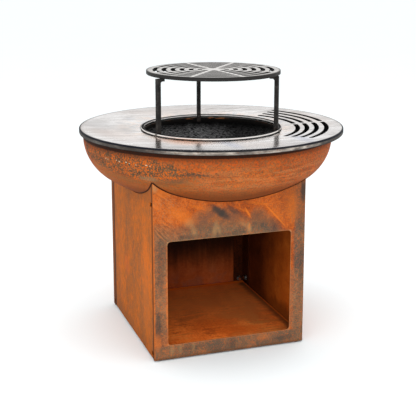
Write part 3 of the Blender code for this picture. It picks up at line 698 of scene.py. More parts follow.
# ---- front panel
def front_finish():
    p = Paint("rust_front")
    noise = grains(p)
    cloud, blotch, crumb, grain = noise
    speck = p.noise(230.0, 3.0, 0.6)
    u = p.sub(p.x, CAB_X)
    orange = rust_colour(p, noise, rust(150, 66, 26), rust(196, 94, 38), rust(230, 124, 56), 1.1)
    grey = rust_colour(p, noise, dull(78, 65, 55), dull(117, 92, 74), dull(154, 115, 87), 1.1)
    # distance outside the log opening
    ox, oz = (OPEN_X0 + OPEN_X1) / 2, (OPEN_Z0 + OPEN_Z1) / 2
    hx, hz = (OPEN_X1 - OPEN_X0) / 2, (OPEN_Z1 - OPEN_Z0) / 2
    dx = p.sub(p.math('ABSOLUTE', p.sub(u, ox)), hx)
    dz = p.sub(p.math('ABSOLUTE', p.sub(p.z, oz)), hz)
    outside = p.math('MAXIMUM', dx, dz)
    wobble = p.add(p.mul(p.sub(blotch, 0.5), 1.3), p.mul(p.sub(cloud, 0.5), 0.5))
    # smoke and handling: everything below a broken outline over the opening, the strips beside it, the strip below
    outline = profile(p, p.x, [(-0.2581, 0.4110), (-0.2200, 0.4020), (-0.1850, 0.4000), (-0.1552, 0.4130), (-0.1404, 0.4280),
                               (-0.1137, 0.4400), (-0.0929, 0.4490), (-0.0600, 0.4470), (-0.0420, 0.4455), (-0.0146, 0.4340),
                               (0.0099, 0.4180), (0.0284, 0.4080), (0.0374, 0.4250), (0.0434, 0.4340), (0.0713, 0.4330),
                               (0.0871, 0.4140), (0.1093, 0.3905), (0.1350, 0.3640), (0.1600, 0.3560), (0.2061, 0.3540)])
    gap = p.add(p.sub(outline, p.z), p.mul(wobble, 0.020))
    hood = p.mul(p.step(gap, -0.010, 0.016), p.step(p.z, 0.330, 0.352))
    hood = p.mul(hood, p.add(0.62, p.mul(p.step(gap, 0.004, 0.055), 0.38)))
    left = p.mul(p.step(p.add(u, p.mul(wobble, 0.012)), -0.188, -0.196), p.step(p.z, 0.39, 0.36))
    left = p.mul(left, p.sub(1.0, p.mul(p.step(p.z, 0.10, 0.05), 0.35)))
    right = p.step(p.add(u, p.mul(wobble, 0.010)), 0.190, 0.202)
    right = p.mul(right, p.sub(1.0, p.mul(p.step(p.z, 0.42, 0.48), 0.25)))
    right_near = p.mul(p.mul(p.step(u, 0.1860, 0.1880), p.step(p.add(p.mul(cloud, 0.6), p.mul(blotch, 0.4)), 0.44, 0.54)), 0.68)
    below = p.mul(p.step(p.z, 0.047, 0.043), p.sub(1.0, p.mul(p.step(p.add(p.mul(blotch, 0.6), p.mul(crumb, 0.4)), 0.54, 0.62), 0.28)))
    patina = p.math('MAXIMUM', hood, p.mul(left, 0.88))
    patina = p.math('MAXIMUM', patina, p.math('MAXIMUM', p.mul(right, 0.95), p.math('MAXIMUM', right_near, p.mul(below, 0.88))))
    # painted highlight: along the lit left corner the patina is thinned, leaving an orange strip
    corner_light_strip = p.step(u, -0.2255, -0.2300)
    patina = p.clamp(p.mul(patina, p.inv(p.mul(corner_light_strip, 0.8))))
    colour = p.mix(patina, orange, grey)
    # the hood is browner in the middle and greyer low down
    warm = p.mul(p.mul(hood, p.step(p.z, 0.370, 0.415)), 0.50)
    colour = p.mix(warm, colour, rust(172, 96, 52))
    cool = p.mul(p.mul(patina, p.step(p.add(p.mul(blotch, 0.5), p.mul(cloud, 0.5)), 0.50, 0.40)), 0.35)
    colour = p.mix(cool, colour, dull(88, 84, 84))
    colour = p.mix(p.mul(below, 0.32), colour, dull(116, 100, 82))
    # broken orange flakes through the patina, dark pits through the orange
    flake = p.mul(p.step(p.add(p.mul(speck, 0.65), p.mul(blotch, 0.35)), 0.52, 0.58), patina)
    colour = p.mix(p.mul(flake, 0.42), colour, rust(196, 100, 46))
    pits = p.mul(p.step(p.add(p.mul(speck, 0.7), p.mul(blotch, 0.3)), 0.46, 0.38), p.inv(patina))
    colour = p.mix(p.mul(pits, 0.60), colour, rust(134, 68, 36))
    rusty = p.mul(p.step(p.add(p.mul(speck, 0.7), p.mul(cloud, 0.3)), 0.54, 0.62), p.inv(patina))
    colour = p.mix(p.mul(rusty, 0.50), colour, rust(238, 122, 40))
    dusk = p.mul(p.mul(p.step(p.x, 0.08, 0.17), p.step(p.z, 0.36, 0.42)), 0.60)
    colour = p.mix(dusk, colour, rust(152, 84, 46))
    colour = freckle(p, colour, p.sub(0.36, p.mul(hood, 0.20)), dull(104, 82, 62), rust(232, 108, 38))
    teal = p.mul(blob(p, -0.222, 0.445, 0.040, 0.060, 0, 1.4, noise=cloud), p.step(p.add(p.mul(speck, 0.7), p.mul(crumb, 0.3)), 0.52, 0.60))
    colour = p.mix(p.mul(teal, 0.50), colour, dull(120, 110, 92))
    # hatch marks at the left, along two leanings
    hatch_a = smears(p, 48, 0.034, 0.0042)
    hatch_b = smears(p, 44, 0.030, 0.0042)
    zone_a = blob(p, -0.222, 0.478, 0.030, 0.034, 0, 1.2, noise=cloud)
    zone_b = blob(p, -0.231, 0.392, 0.026, 0.034, 0, 1.2, noise=cloud)
    colour = p.mix(p.mul(zone_a, p.mul(p.step(hatch_a, 0.50, 0.58), 0.50)), colour, rust(112, 76, 56))
    colour = p.mix(p.mul(zone_a, p.mul(p.step(hatch_a, 0.46, 0.38), 0.35)), colour, rust(226, 134, 70))
    colour = p.mix(p.mul(zone_b, p.mul(p.step(hatch_b, 0.50, 0.58), 0.62)), colour, rust(100, 72, 54))
    colour = p.mix(p.mul(zone_b, p.mul(p.step(hatch_b, 0.46, 0.38), 0.35)), colour, rust(220, 128, 68))
    # dark smudges
    for cx, cz, rx, rz, tilt, amount in ((-0.063, 0.4315, 0.026, 0.0095, -38, 0.85), (-0.052, 0.424, 0.018, 0.0120, -30, 0.45),
                                         (-0.018, 0.4300, 0.020, 0.0065, -32, 0.62), (0.010, 0.4120, 0.016, 0.0080, -38, 0.25),
                                         (0.112, 0.3800, 0.026, 0.0120, -40, 0.40), (0.075, 0.3900, 0.040, 0.0200, -38, 0.22),
                                         (-0.145, 0.3640, 0.050, 0.0070, 0, 0.40), (-0.050, 0.3620, 0.060, 0.0060, 0, 0.30),
                                         (-0.245, 0.1100, 0.0075, 0.0380, 0, 0.60), (-0.236, 0.2600, 0.0080, 0.0700, 0, 0.28),
                                         (0.198, 0.4700, 0.0090, 0.0340, 0, 0.85), (0.195, 0.2600, 0.0070, 0.0900, 0, 0.30),
                                         (-0.150, 0.0300, 0.0300, 0.0060, 0, 0.30), (-0.020, 0.0280, 0.0100, 0.0160, 0, 0.45),
                                         (0.145, 0.0220, 0.0220, 0.0090, 0, 0.40)):
        spot = blob(p, cx, cz, rx, rz, tilt, 1.1, noise=blotch, warp=0.45)
        colour = p.mix(p.mul(spot, amount), colour, dull(66, 60, 58))
    # light wiped places and run marks
    for cx, cz, rx, rz, tilt, amount in ((-0.153, 0.4050, 0.011, 0.0130, 60, 0.42), (-0.138, 0.3800, 0.007, 0.0170, 20, 0.38),
                                         (-0.074, 0.3800, 0.007, 0.0200, -8, 0.50), (-0.062, 0.3760, 0.005, 0.0140, 10, 0.40),
                                         (0.029, 0.3760, 0.006, 0.0130, 10, 0.60), (0.012, 0.3860, 0.012, 0.0050, -30, 0.30),
                                         (-0.252, 0.5130, 0.007, 0.0110, 20, 0.70), (-0.205, 0.0290, 0.006, 0.0140, 0, 0.35),
                                         (-0.180, 0.0310, 0.005, 0.0130, 4, 0.35), (-0.140, 0.0340, 0.005, 0.0130, -4, 0.30)):
        spot = blob(p, cx, cz, rx, rz, tilt, 1.5, noise=crumb, warp=0.35)
        colour = p.mix(p.mul(spot, min(1.0, amount * 0.7)), colour, rust(206, 158, 110))
    for cx, cz, rx, rz, tilt, amount in ((0.0255, 0.4190, 0.0150, 0.0026, -60, 0.75), (0.0080, 0.4300, 0.0150, 0.0022, -28, 0.40),
                                         (0.0295, 0.3780, 0.0100, 0.0024, 84, 0.45), (0.1060, 0.4090, 0.0460, 0.0026, -48, 0.72),
                                         (0.1180, 0.4080, 0.0260, 0.0060, -48, 0.30), (0.0560, 0.4450, 0.0300, 0.0040, -10, 0.35),
                                         (-0.1760, 0.4300, 0.0400, 0.0160, -28, 0.45), (-0.1250, 0.4480, 0.0260, 0.0050, -20, 0.35),
                                         (0.1640, 0.4200, 0.0160, 0.0420, 0, 0.30), (0.0760, 0.0330, 0.0180, 0.0100, 0, 0.26),
                                         (-0.2180, 0.5040, 0.0300, 0.0160, 30, 0.40),
                                         (-0.2460, 0.0560, 0.0080, 0.0240, 0, 0.35)):
        spot = blob(p, cx, cz, rx, rz, tilt, 1.2, noise=blotch, warp=0.30)
        colour = p.mix(p.mul(spot, amount), colour, rust(236, 124, 44))
    # painted highlights on the corners and on the cut edge of the opening; darker along the bottom edge
    corner_highlight = p.mul(p.step(u, -0.2294, -0.2310), p.add(0.30, p.mul(crumb, 0.6)))
    colour = p.mix(corner_highlight, colour, rust(226, 126, 56))
    corner_highlight = p.mul(p.step(u, 0.2290, 0.2312), p.add(0.15, p.mul(crumb, 0.5)))
    colour = p.mix(corner_highlight, colour, rust(196, 112, 60))
    cut = p.mul(p.step(outside, 0.0016, 0.0004), p.add(0.10, p.mul(crumb, 0.7)))
    colour = p.mix(cut, colour, rust(206, 150, 108))
    foot = p.mul(p.step(p.add(p.z, p.mul(wobble, 0.006)), 0.014, 0.006), 0.5)
    colour = p.mix(foot, colour, rust(104, 66, 42))
    # inside face: smoked
    inner = p.step(p.y, -HY + 0.0010, -HY + 0.0022)
    colour = p.mix(p.mul(inner, 0.75), colour, rust(70, 36, 20))
    rough = p.add(0.66, p.mul(p.add(crumb, blotch), 0.16))
    return p.finish(colour, rough, 0.0, rust_relief(p, noise, 0.45), Specular_IOR_Level=0.12)


# ---- side and rear sheets
def side_finish(name, node):
    p = Paint(name)
    noise = grains(p, 0.7)
    cloud, blotch, crumb, grain = noise
    drift = p.noise(1.0, 4.0, 0.55, p.stretch(13, 13, 5.0), warp=0.3)
    wide = p.noise(1.0, 2.0, 0.5, p.stretch(6, 6, 3.0, shift=(3, 1, 2)))
    tone = (wide, drift, crumb, grain)
    outer = rust_colour(p, tone, rust(136, 76, 30), rust(192, 100, 18), rust(234, 118, 8), 0.95)
    glow = p.mul(p.step(p.add(p.mul(drift, 0.5), p.mul(wide, 0.5)), 0.50, 0.62), 0.38)
    outer = p.mix(glow, outer, rust(224, 108, 18))
    stain = p.mul(p.step(p.add(p.mul(drift, 0.6), p.mul(blotch, 0.4)), 0.50, 0.38), 0.42)
    outer = p.mix(stain, outer, rust(146, 92, 50))
    outer = freckle(p, outer, 0.26, rust(118, 78, 46), rust(240, 130, 40))
    fibre = p.noise(1.0, 3.0, 0.6, p.stretch(75, 75, 48))
    outer = p.mix(p.mul(p.step(fibre, 0.49, 0.38), 0.34), outer, dull(124, 88, 58))
    outer = p.mix(p.mul(p.step(fibre, 0.53, 0.64), 0.34), outer, rust(240, 112, 14))
    low = p.mul(p.step(p.add(p.z, p.mul(blotch, 0.04)), 0.085, 0.03), 0.40)
    outer = p.mix(low, outer, rust(118, 70, 40))
    if node == "side":
        near = p.mul(p.step(p.add(p.y, p.mul(blotch, 0.01)), -0.222, -0.242), 0.35)
        outer = p.mix(near, outer, rust(130, 74, 40))
        # dark line at the joint with the front panel, widened by painted shade in the joint
        joint = p.mul(p.step(p.y, -0.2375, -0.2410), 0.78)
        outer = p.mix(joint, outer, rust(54, 25, 11))
        far = p.mul(p.step(p.add(p.y, p.mul(drift, 0.06)), 0.10, 0.24), 0.32)
        outer = p.mix(far, outer, rust(132, 82, 50))
        top = p.mul(p.step(p.add(p.z, p.mul(p.math('ABSOLUTE', p.y), -0.22)), 0.405, 0.455), 0.28)
        outer = p.mix(top, outer, rust(130, 76, 42))
        ember = p.mul(blob(p, 0.055, 0.200, 0.030, 0.026, 0, 1.4, axes="yz", noise=drift), 0.45)
        outer = p.mix(ember, outer, rust(216, 100, 30))
        front_glow = p.mul(blob(p, -0.175, 0.210, 0.035, 0.13, 0, 1.4, axes="yz", noise=drift), 0.30)
        outer = p.mix(front_glow, outer, rust(214, 112, 40))
        # dark band along the joint with the rear return, widened by painted shade in the joint
        seam = p.mul(p.step(p.y, HY - REAR_RETURN - 0.0210, HY - REAR_RETURN - 0.0150), 0.85)
        outer = p.mix(seam, outer, rust(62, 28, 12))
        # painted shade: near black in the notches at the feet, low down at the front and rear ends
        notch_shade = p.mul(p.step(p.z, 0.022, 0.015), p.math('MAXIMUM', p.step(p.y, -0.236, -0.243), p.step(p.y, 0.212, 0.220)))
        outer = p.mix(p.mul(notch_shade, 0.85), outer, srgb(26, 14, 8))
        depth = p.sub(HX, p.math('ABSOLUTE', p.sub(p.x, CAB_X)))     # from the outer face
        back = p.step(p.y, -0.19, 0.14)
    else:
        back = 0.9
        depth = p.sub(HY, p.y)
        ret = p.mul(p.step(p.y, HY - 0.0005, HY - 0.0040), 0.80)
        outer = p.mix(ret, outer, rust(104, 56, 26))
    # inside: painted shade, darker up and to the back, with smoke from the fire above
    rust_tone = (wide, drift, blotch, crumb)
    warm = rust_colour(p, rust_tone, srgb(116, 52, 10), srgb(184, 88, 22), srgb(216, 116, 36), 0.9)
    soot = rust_colour(p, rust_tone, rust(38, 14, 6), rust(62, 26, 10), rust(90, 40, 16), 0.8)
    streak = p.noise(1.0, 4.0, 0.6, p.stretch(60, 60, 5))
    smoke_and_shade = p.step(p.add(p.z, p.mul(p.sub(streak, 0.5), 0.10)), 0.12, 0.34)
    if node == "side":
        amount = p.clamp(p.add(p.mul(back, 0.80), p.mul(smoke_and_shade, 0.25)))
        drip = p.mul(p.step(p.add(p.z, p.mul(p.sub(streak, 0.5), 0.06)), 0.095, 0.050), 0.60)
        amount = p.math('MAXIMUM', amount, drip)
    else:
        amount = p.add(0.08, p.mul(p.step(p.add(p.z, p.mul(p.sub(streak, 0.5), 0.10)), 0.06, 0.24), 0.90))
        warm = rust_colour(p, rust_tone, srgb(118, 50, 20), srgb(168, 78, 34), srgb(200, 104, 54), 0.9)
    inside = p.mix(amount, warm, soot)
    if node != "side":
        # painted shade: the rear wall goes near black higher up
        black = p.mul(p.step(p.add(p.z, p.mul(p.sub(streak, 0.5), 0.05)), 0.045, 0.185), 0.85)
        inside = p.mix(black, inside, srgb(16, 7, 3))
    if node != "side":
        bloom = p.mul(p.mul(p.step(p.z, 0.105, 0.050), p.step(blotch, 0.42, 0.60)), 0.45)
        inside = p.mix(bloom, inside, rust(112, 74, 66))
    face = p.step(depth, 0.0010, 0.0021)
    if node != "side":                   # the side returns are seen from outside
        hidden = p.step(p.math('ABSOLUTE', p.sub(p.x, CAB_X)), HX - 0.0022, HX - 0.0030)
        face = p.mul(face, hidden)
    colour = p.mix(face, outer, inside)
    rough = p.add(0.66, p.mul(p.add(crumb, drift), 0.14))
    return p.finish(colour, rough, 0.0, rust_relief(p, noise, 0.22), Specular_IOR_Level=0.12)


# ---- log floor
def floor_finish():
    p = Paint("rust_floor")
    noise = grains(p)
    cloud, blotch, crumb, grain = noise
    drag = p.noise(1.0, 5.0, 0.62, p.stretch(7, 55, 7), warp=0.3)    # brushed from side to side
    scrape = p.noise(1.0, 4.0, 0.6, p.stretch(14, 3, 14))
    patch = p.noise(12.0, 4.0, 0.6)
    colour = rust_colour(p, (patch, drag, crumb, scrape), srgb(168, 76, 30), srgb(255, 130, 50), srgb(255, 174, 86), 1.15)
    red = p.mul(p.step(p.add(p.mul(patch, 0.6), p.mul(drag, 0.4)), 0.47, 0.57), 0.55)
    colour = p.mix(red, colour, rust(182, 64, 22))
    worn = p.mul(blob(p, CAB_X + 0.13, -0.06, 0.07, 0.16, 10, 1.4, axes="xy", noise=drag), 0.26)
    colour = p.mix(worn, colour, rust(170, 108, 64))
    # painted pools of light on the front of the floor
    for cx, cy, rx, ry, amount in ((CAB_X - 0.01, -0.10, 0.07, 0.055, 0.60), (CAB_X + 0.05, -0.175, 0.07, 0.03, 0.65),
                                   (CAB_X - 0.13, -0.20, 0.09, 0.03, 0.35), (CAB_X - 0.04, 0.02, 0.10, 0.04, 0.40)):
        glow = p.mul(blob(p, cx, cy, rx, ry, 0, 1.5, axes="xy", noise=drag), amount)
        colour = p.mix(glow, colour, rust(224, 92, 20))
    dark = p.mul(p.step(p.add(p.mul(drag, 0.4), p.mul(patch, 0.6)), 0.47, 0.38), 0.22)
    colour = p.mix(dark, colour, rust(92, 52, 30))
    # brighter towards the back
    back_brighter = p.mul(p.step(p.y, -0.16, 0.10), 0.60)
    colour = p.mix(back_brighter, colour, srgb(248, 140, 70))
    # turned edge along the walls: a painted highlight line on the bend, with painted shade beside it
    ax = p.math('ABSOLUTE', p.sub(p.x, CAB_X))
    bend_highlight = p.mul(p.step(ax, 0.2195, 0.2215), p.add(0.4, p.mul(crumb, 0.5)))
    edge_shade = p.mul(p.mul(p.step(p.add(ax, p.mul(p.sub(blotch, 0.5), 0.03)), 0.190, 0.2165), p.step(ax, 0.2215, 0.2195)), 0.70)
    colour = p.mix(edge_shade, colour, rust(58, 38, 26))
    colour = p.mix(bend_highlight, colour, rust(212, 100, 24))
    # painted highlight along the bend at the rear edge
    rear = p.mul(p.step(p.y, 0.220, 0.229), p.add(0.55, p.mul(crumb, 0.5)))
    colour = p.mix(rear, colour, srgb(255, 122, 30))
    # painted shade on the down-turned faces of the bends
    turned_down_shade = p.step(p.nz, 0.35, 0.10)
    colour = p.mix(p.mul(turned_down_shade, 0.85), colour, rust(58, 34, 20))
    rough = p.add(0.60, p.mul(p.add(drag, crumb), 0.17))
    normal = p.bump(p.add(p.add(p.mul(grain, 0.3), crumb), p.mul(drag, 0.7)), 0.35, 0.0009)
    return p.finish(colour, rough, 0.0, normal, Specular_IOR_Level=0.12)


# ---- fire bowl
def bowl_finish():
    p = Paint("rust_bowl")
    noise = grains(p)
    cloud, blotch, crumb, grain = noise
    speck = p.noise(260.0, 3.0, 0.65)
    bx = p.sub(p.x, BOWL_X)
    r = p.math('SQRT', p.add(p.mul(bx, bx), p.mul(p.y, p.y)))
    az = p.math('ARCTAN2', p.y, bx)                                   # radians, -pi/2 at the front
    deg = p.mul(az, 180 / math.pi)
    turned = p.noise(1.0, 5.0, 0.62, p.stretch(9, 9, 75))             # bands left by spinning the dish
    tone = (cloud, blotch, crumb, grain)
    colour = rust_colour(p, tone, rust(128, 60, 26), rust(182, 96, 44), rust(220, 124, 58), 1.1)
    redder = p.mul(p.step(p.add(p.z, p.mul(p.sub(turned, 0.5), 0.10)), 0.545, 0.600), 0.50)
    colour = p.mix(redder, colour, rust(158, 70, 32))
    bands = p.mul(p.step(turned, 0.46, 0.58), p.mul(p.mul(p.step(p.z, 0.595, 0.555), p.step(p.z, 0.495, 0.515)), 0.55))
    colour = p.mix(bands, colour, rust(208, 132, 84))
    bands = p.mul(p.step(turned, 0.46, 0.36), 0.30)
    colour = p.mix(bands, colour, rust(128, 70, 40))
    peach = p.mul(p.mul(p.step(p.z, 0.550, 0.515), p.step(p.z, 0.455, 0.490)),
                  p.mul(p.step(p.math('ABSOLUTE', p.add(deg, 98.0)), 24.0, 6.0), 0.22))
    colour = p.mix(peach, colour, rust(196, 136, 92))
    embers = p.mul(p.step(p.add(p.mul(speck, 0.55), p.mul(blotch, 0.45)), 0.53, 0.61), 0.45)
    colour = p.mix(embers, colour, rust(218, 104, 40))
    pits = p.mul(p.step(p.add(p.mul(speck, 0.65), p.mul(crumb, 0.35)), 0.47, 0.39), 0.62)
    colour = p.mix(pits, colour, dull(98, 66, 46))
    # right end: fine red and orange mottling
    east = p.step(deg, -80.0, -56.0)
    mott = p.mul(east, p.step(p.add(p.mul(speck, 0.6), p.mul(crumb, 0.4)), 0.52, 0.58))
    colour = p.mix(p.mul(mott, 0.50), colour, rust(200, 104, 52))
    mott = p.mul(east, p.step(p.add(p.mul(speck, 0.6), p.mul(crumb, 0.4)), 0.49, 0.43))
    colour = p.mix(p.mul(mott, 0.55), colour, dull(104, 64, 46))
    colour = freckle(p, colour, 0.46, dull(112, 82, 56), rust(232, 96, 24), 280.0)
    ember = p.noise(1.0, 3.0, 0.65, p.stretch(150, 150, 190, shift=(4.1, 2.2, 0.4)))
    colour = p.mix(p.mul(p.step(ember, 0.52, 0.62), 0.42), colour, rust(226, 88, 22))
    colour = p.mix(p.mul(p.step(ember, 0.48, 0.38), 0.38), colour, dull(134, 98, 66))
    # olive smears low on the left
    olive = p.mul(p.step(p.math('ABSOLUTE', p.add(deg, 142.0)), 36.0, 16.0), p.mul(p.step(p.z, 0.500, 0.530), p.step(p.z, 0.575, 0.550)))
    olive = p.mul(olive, p.step(p.add(p.mul(blotch, 0.4), p.add(p.mul(crumb, 0.3), p.mul(turned, 0.3))), 0.43, 0.55))
    colour = p.mix(p.mul(olive, 0.64), colour, dull(108, 86, 58))
    tan = p.mul(p.mul(p.step(p.z, 0.555, 0.530), p.step(deg, -104.0, -122.0)), 0.34)
    colour = p.mix(tan, colour, rust(158, 86, 34))
    # left end: a smoked grey-brown belt that thins out to the front, with orange showing through it
    centre = profile(p, deg, [(-200.0, 0.5900), (-170.0, 0.5830), (-150.0, 0.5780), (-135.0, 0.5720), (-120.0, 0.5640),
                              (-110.0, 0.5600), (-95.0, 0.5580), (-80.0, 0.5540)])
    half = profile(p, deg, [(-200.0, 0.010), (-172.0, 0.030), (-155.0, 0.042), (-138.0, 0.038), (-124.0, 0.022), (-114.0, 0.008),
                            (-100.0, 0.001), (-80.0, -0.004)])
    wobble = p.add(p.mul(p.sub(blotch, 0.5), 0.045), p.mul(p.sub(crumb, 0.5), 0.020))
    belt = p.sub(half, p.math('ABSOLUTE', p.add(p.sub(p.z, centre), wobble)))
    belt = p.step(belt, -0.008, 0.012)
    grey = rust_colour(p, tone, dull(54, 46, 36), dull(96, 78, 58), dull(132, 106, 76), 1.1)
    colour = p.mix(p.mul(belt, 0.84), colour, grey)
    show = p.mul(belt, p.step(p.add(p.mul(speck, 0.70), p.mul(blotch, 0.30)), 0.505, 0.555))
    colour = p.mix(p.mul(show, 0.92), colour, rust(224, 102, 18))
    coal = p.mul(belt, p.step(p.add(p.mul(speck, 0.55), p.mul(crumb, 0.45)), 0.47, 0.40))
    colour = p.mix(p.mul(coal, 0.38), colour, dull(52, 47, 42))
    # a beige wiped place under the belt, and thin dark streaks beside it
    beige = p.mul(p.step(p.math('ABSOLUTE', p.add(deg, 136.0)), 6.0, 2.5),
                  p.step(p.math('ABSOLUTE', p.add(p.sub(p.z, 0.541), p.mul(p.sub(crumb, 0.5), 0.014))), 0.009, 0.003))
    colour = p.mix(p.mul(beige, 0.50), colour, dull(150, 122, 92))
    for d0, w, z0, h, amount in ((-113.5, 6.0, 0.5620, 0.0055, 0.55), (-123.0, 5.0, 0.5420, 0.0100, 0.35), (-101.0, 5.0, 0.5560, 0.0040, 0.22),
                                 (-128.0, 5.0, 0.5300, 0.0070, 0.22)):
        dash = p.mul(p.step(p.math('ABSOLUTE', p.sub(deg, d0)), w * 1.3, w * 0.5),
                     p.step(p.math('ABSOLUTE', p.add(p.sub(p.z, z0), p.mul(p.sub(turned, 0.5), 0.020))), h, h * 0.3))
        colour = p.mix(p.mul(dash, amount), colour, dull(84, 68, 58))
    # a short chain of chipped light spots
    for place, z, size in ((-158.6, 0.5822, 0.0030), (-157.0, 0.5812, 0.0024), (-151.2, 0.5845, 0.0026), (-149.6, 0.5818, 0.0034),
                           (-145.6, 0.5830, 0.0034), (-143.8, 0.5812, 0.0026), (-140.4, 0.5800, 0.0024), (-135.2, 0.5822, 0.0036),
                           (-133.6, 0.5808, 0.0026)):
        a = math.radians(place)
        d = p.math('SQRT', p.add(p.math('POWER', p.mul(p.sub(az, a), BOWL_R), 2.0),
                                 p.math('POWER', p.mul(p.sub(p.z, z), 1.6), 2.0)))
        chip = p.step(p.add(d, p.mul(p.sub(grain, 0.5), 0.005)), size * 1.15, size * 0.5)
        colour = p.mix(p.mul(chip, 0.85), colour, rust(216, 196, 176))
    # painted shade under the plate's edge
    lip_shade = p.step(p.add(p.z, p.mul(p.sub(blotch, 0.5), 0.010)), 0.592, 0.606)
    colour = p.mix(p.mul(lip_shade, 0.60), colour, rust(104, 48, 24))
    shade = p.step(p.z, 0.6062, 0.6100)
    colour = p.mix(p.mul(shade, 0.88), colour, srgb(24, 11, 6))
    # painted shade: darker over the lower part of the bowl
    under = p.mul(p.step(p.z, 0.530, 0.475), 0.80)
    colour = p.mix(under, colour, rust(122, 62, 28))
    # painted contact shade with soot: a dark line where it sits in the cabinet's arcs
    ax, ay = p.math('ABSOLUTE', p.sub(p.x, CAB_X)), p.math('ABSOLUTE', p.y)
    arc_soot_and_shade_front = p.mul(p.mul(p.step(ay, HY - 0.0035, HY - 0.0025), p.step(ay, HY + 0.0042, HY + 0.0018)), p.step(ax, HX, HX - 0.002))
    arc_soot_and_shade_side = p.mul(p.mul(p.step(ax, HX - 0.0035, HX - 0.0025), p.step(ax, HX + 0.0034, HX + 0.0014)), p.step(ay, HY, HY - 0.002))
    colour = p.mix(p.mul(p.math('MAXIMUM', arc_soot_and_shade_front, arc_soot_and_shade_side), 0.90), colour, srgb(34, 14, 8))
    # inside: soot, grey with ash and grit lower down
    cz = p.math('SQRT', p.add(p.mul(r, r), p.math('POWER', p.sub(p.z, CROWN_Z), 2.0)))
    inside_crown = p.step(cz, BOWL_CROWN_R - 0.0010, BOWL_CROWN_R - 0.0020)
    kr = p.math('SQRT', p.add(p.math('POWER', p.sub(r, KNUCKLE_AXIS_R), 2.0), p.math('POWER', p.sub(p.z, KNUCKLE_Z), 2.0)))
    inside_knuckle = p.step(kr, BOWL_KNUCKLE_R - 0.0010, BOWL_KNUCKLE_R - 0.0020)
    seam_r = BOWL_CROWN_R * math.sin(math.radians(TANGENT))
    on_crown = p.step(r, seam_r + 0.001, seam_r - 0.001)
    straight = p.mul(p.step(p.z, KNUCKLE_Z - 0.001, KNUCKLE_Z), p.step(r, BOWL_R - 0.0010, BOWL_R - 0.0020))
    inside = p.math('MAXIMUM', p.add(p.mul(on_crown, inside_crown), p.mul(p.inv(on_crown), inside_knuckle)), straight)
    grit = p.noise(1.0, 4.0, 0.75, p.stretch(120, 120, 520))
    centre_pit = p.step(p.math('ABSOLUTE', p.sub(p.x, 0.02)), 0.190, 0.060)
    ash = p.mul(p.step(p.add(p.z, p.mul(p.sub(blotch, 0.5), 0.03)), 0.582, 0.545), p.step(grit, 0.40, 0.62))
    ash = p.mul(ash, p.add(0.20, p.mul(centre_pit, 0.80)))
    soot = p.ramp(crumb, [(0.3, srgb(12, 12, 12)), (0.7, srgb(50, 49, 49))])
    soot = p.mix(ash, soot, srgb(240, 240, 241))
    colour = p.mix(inside, colour, soot)
    rough = p.add(0.66, p.mul(p.add(crumb, blotch), 0.16))
    normal = p.bump(p.add(p.add(p.mul(grain, 0.4), crumb), p.add(p.mul(blotch, 0.8), p.mul(turned, 0.6))), 0.5, 0.0011)
    return p.finish(colour, rough, 0.0, normal, Specular_IOR_Level=0.12)


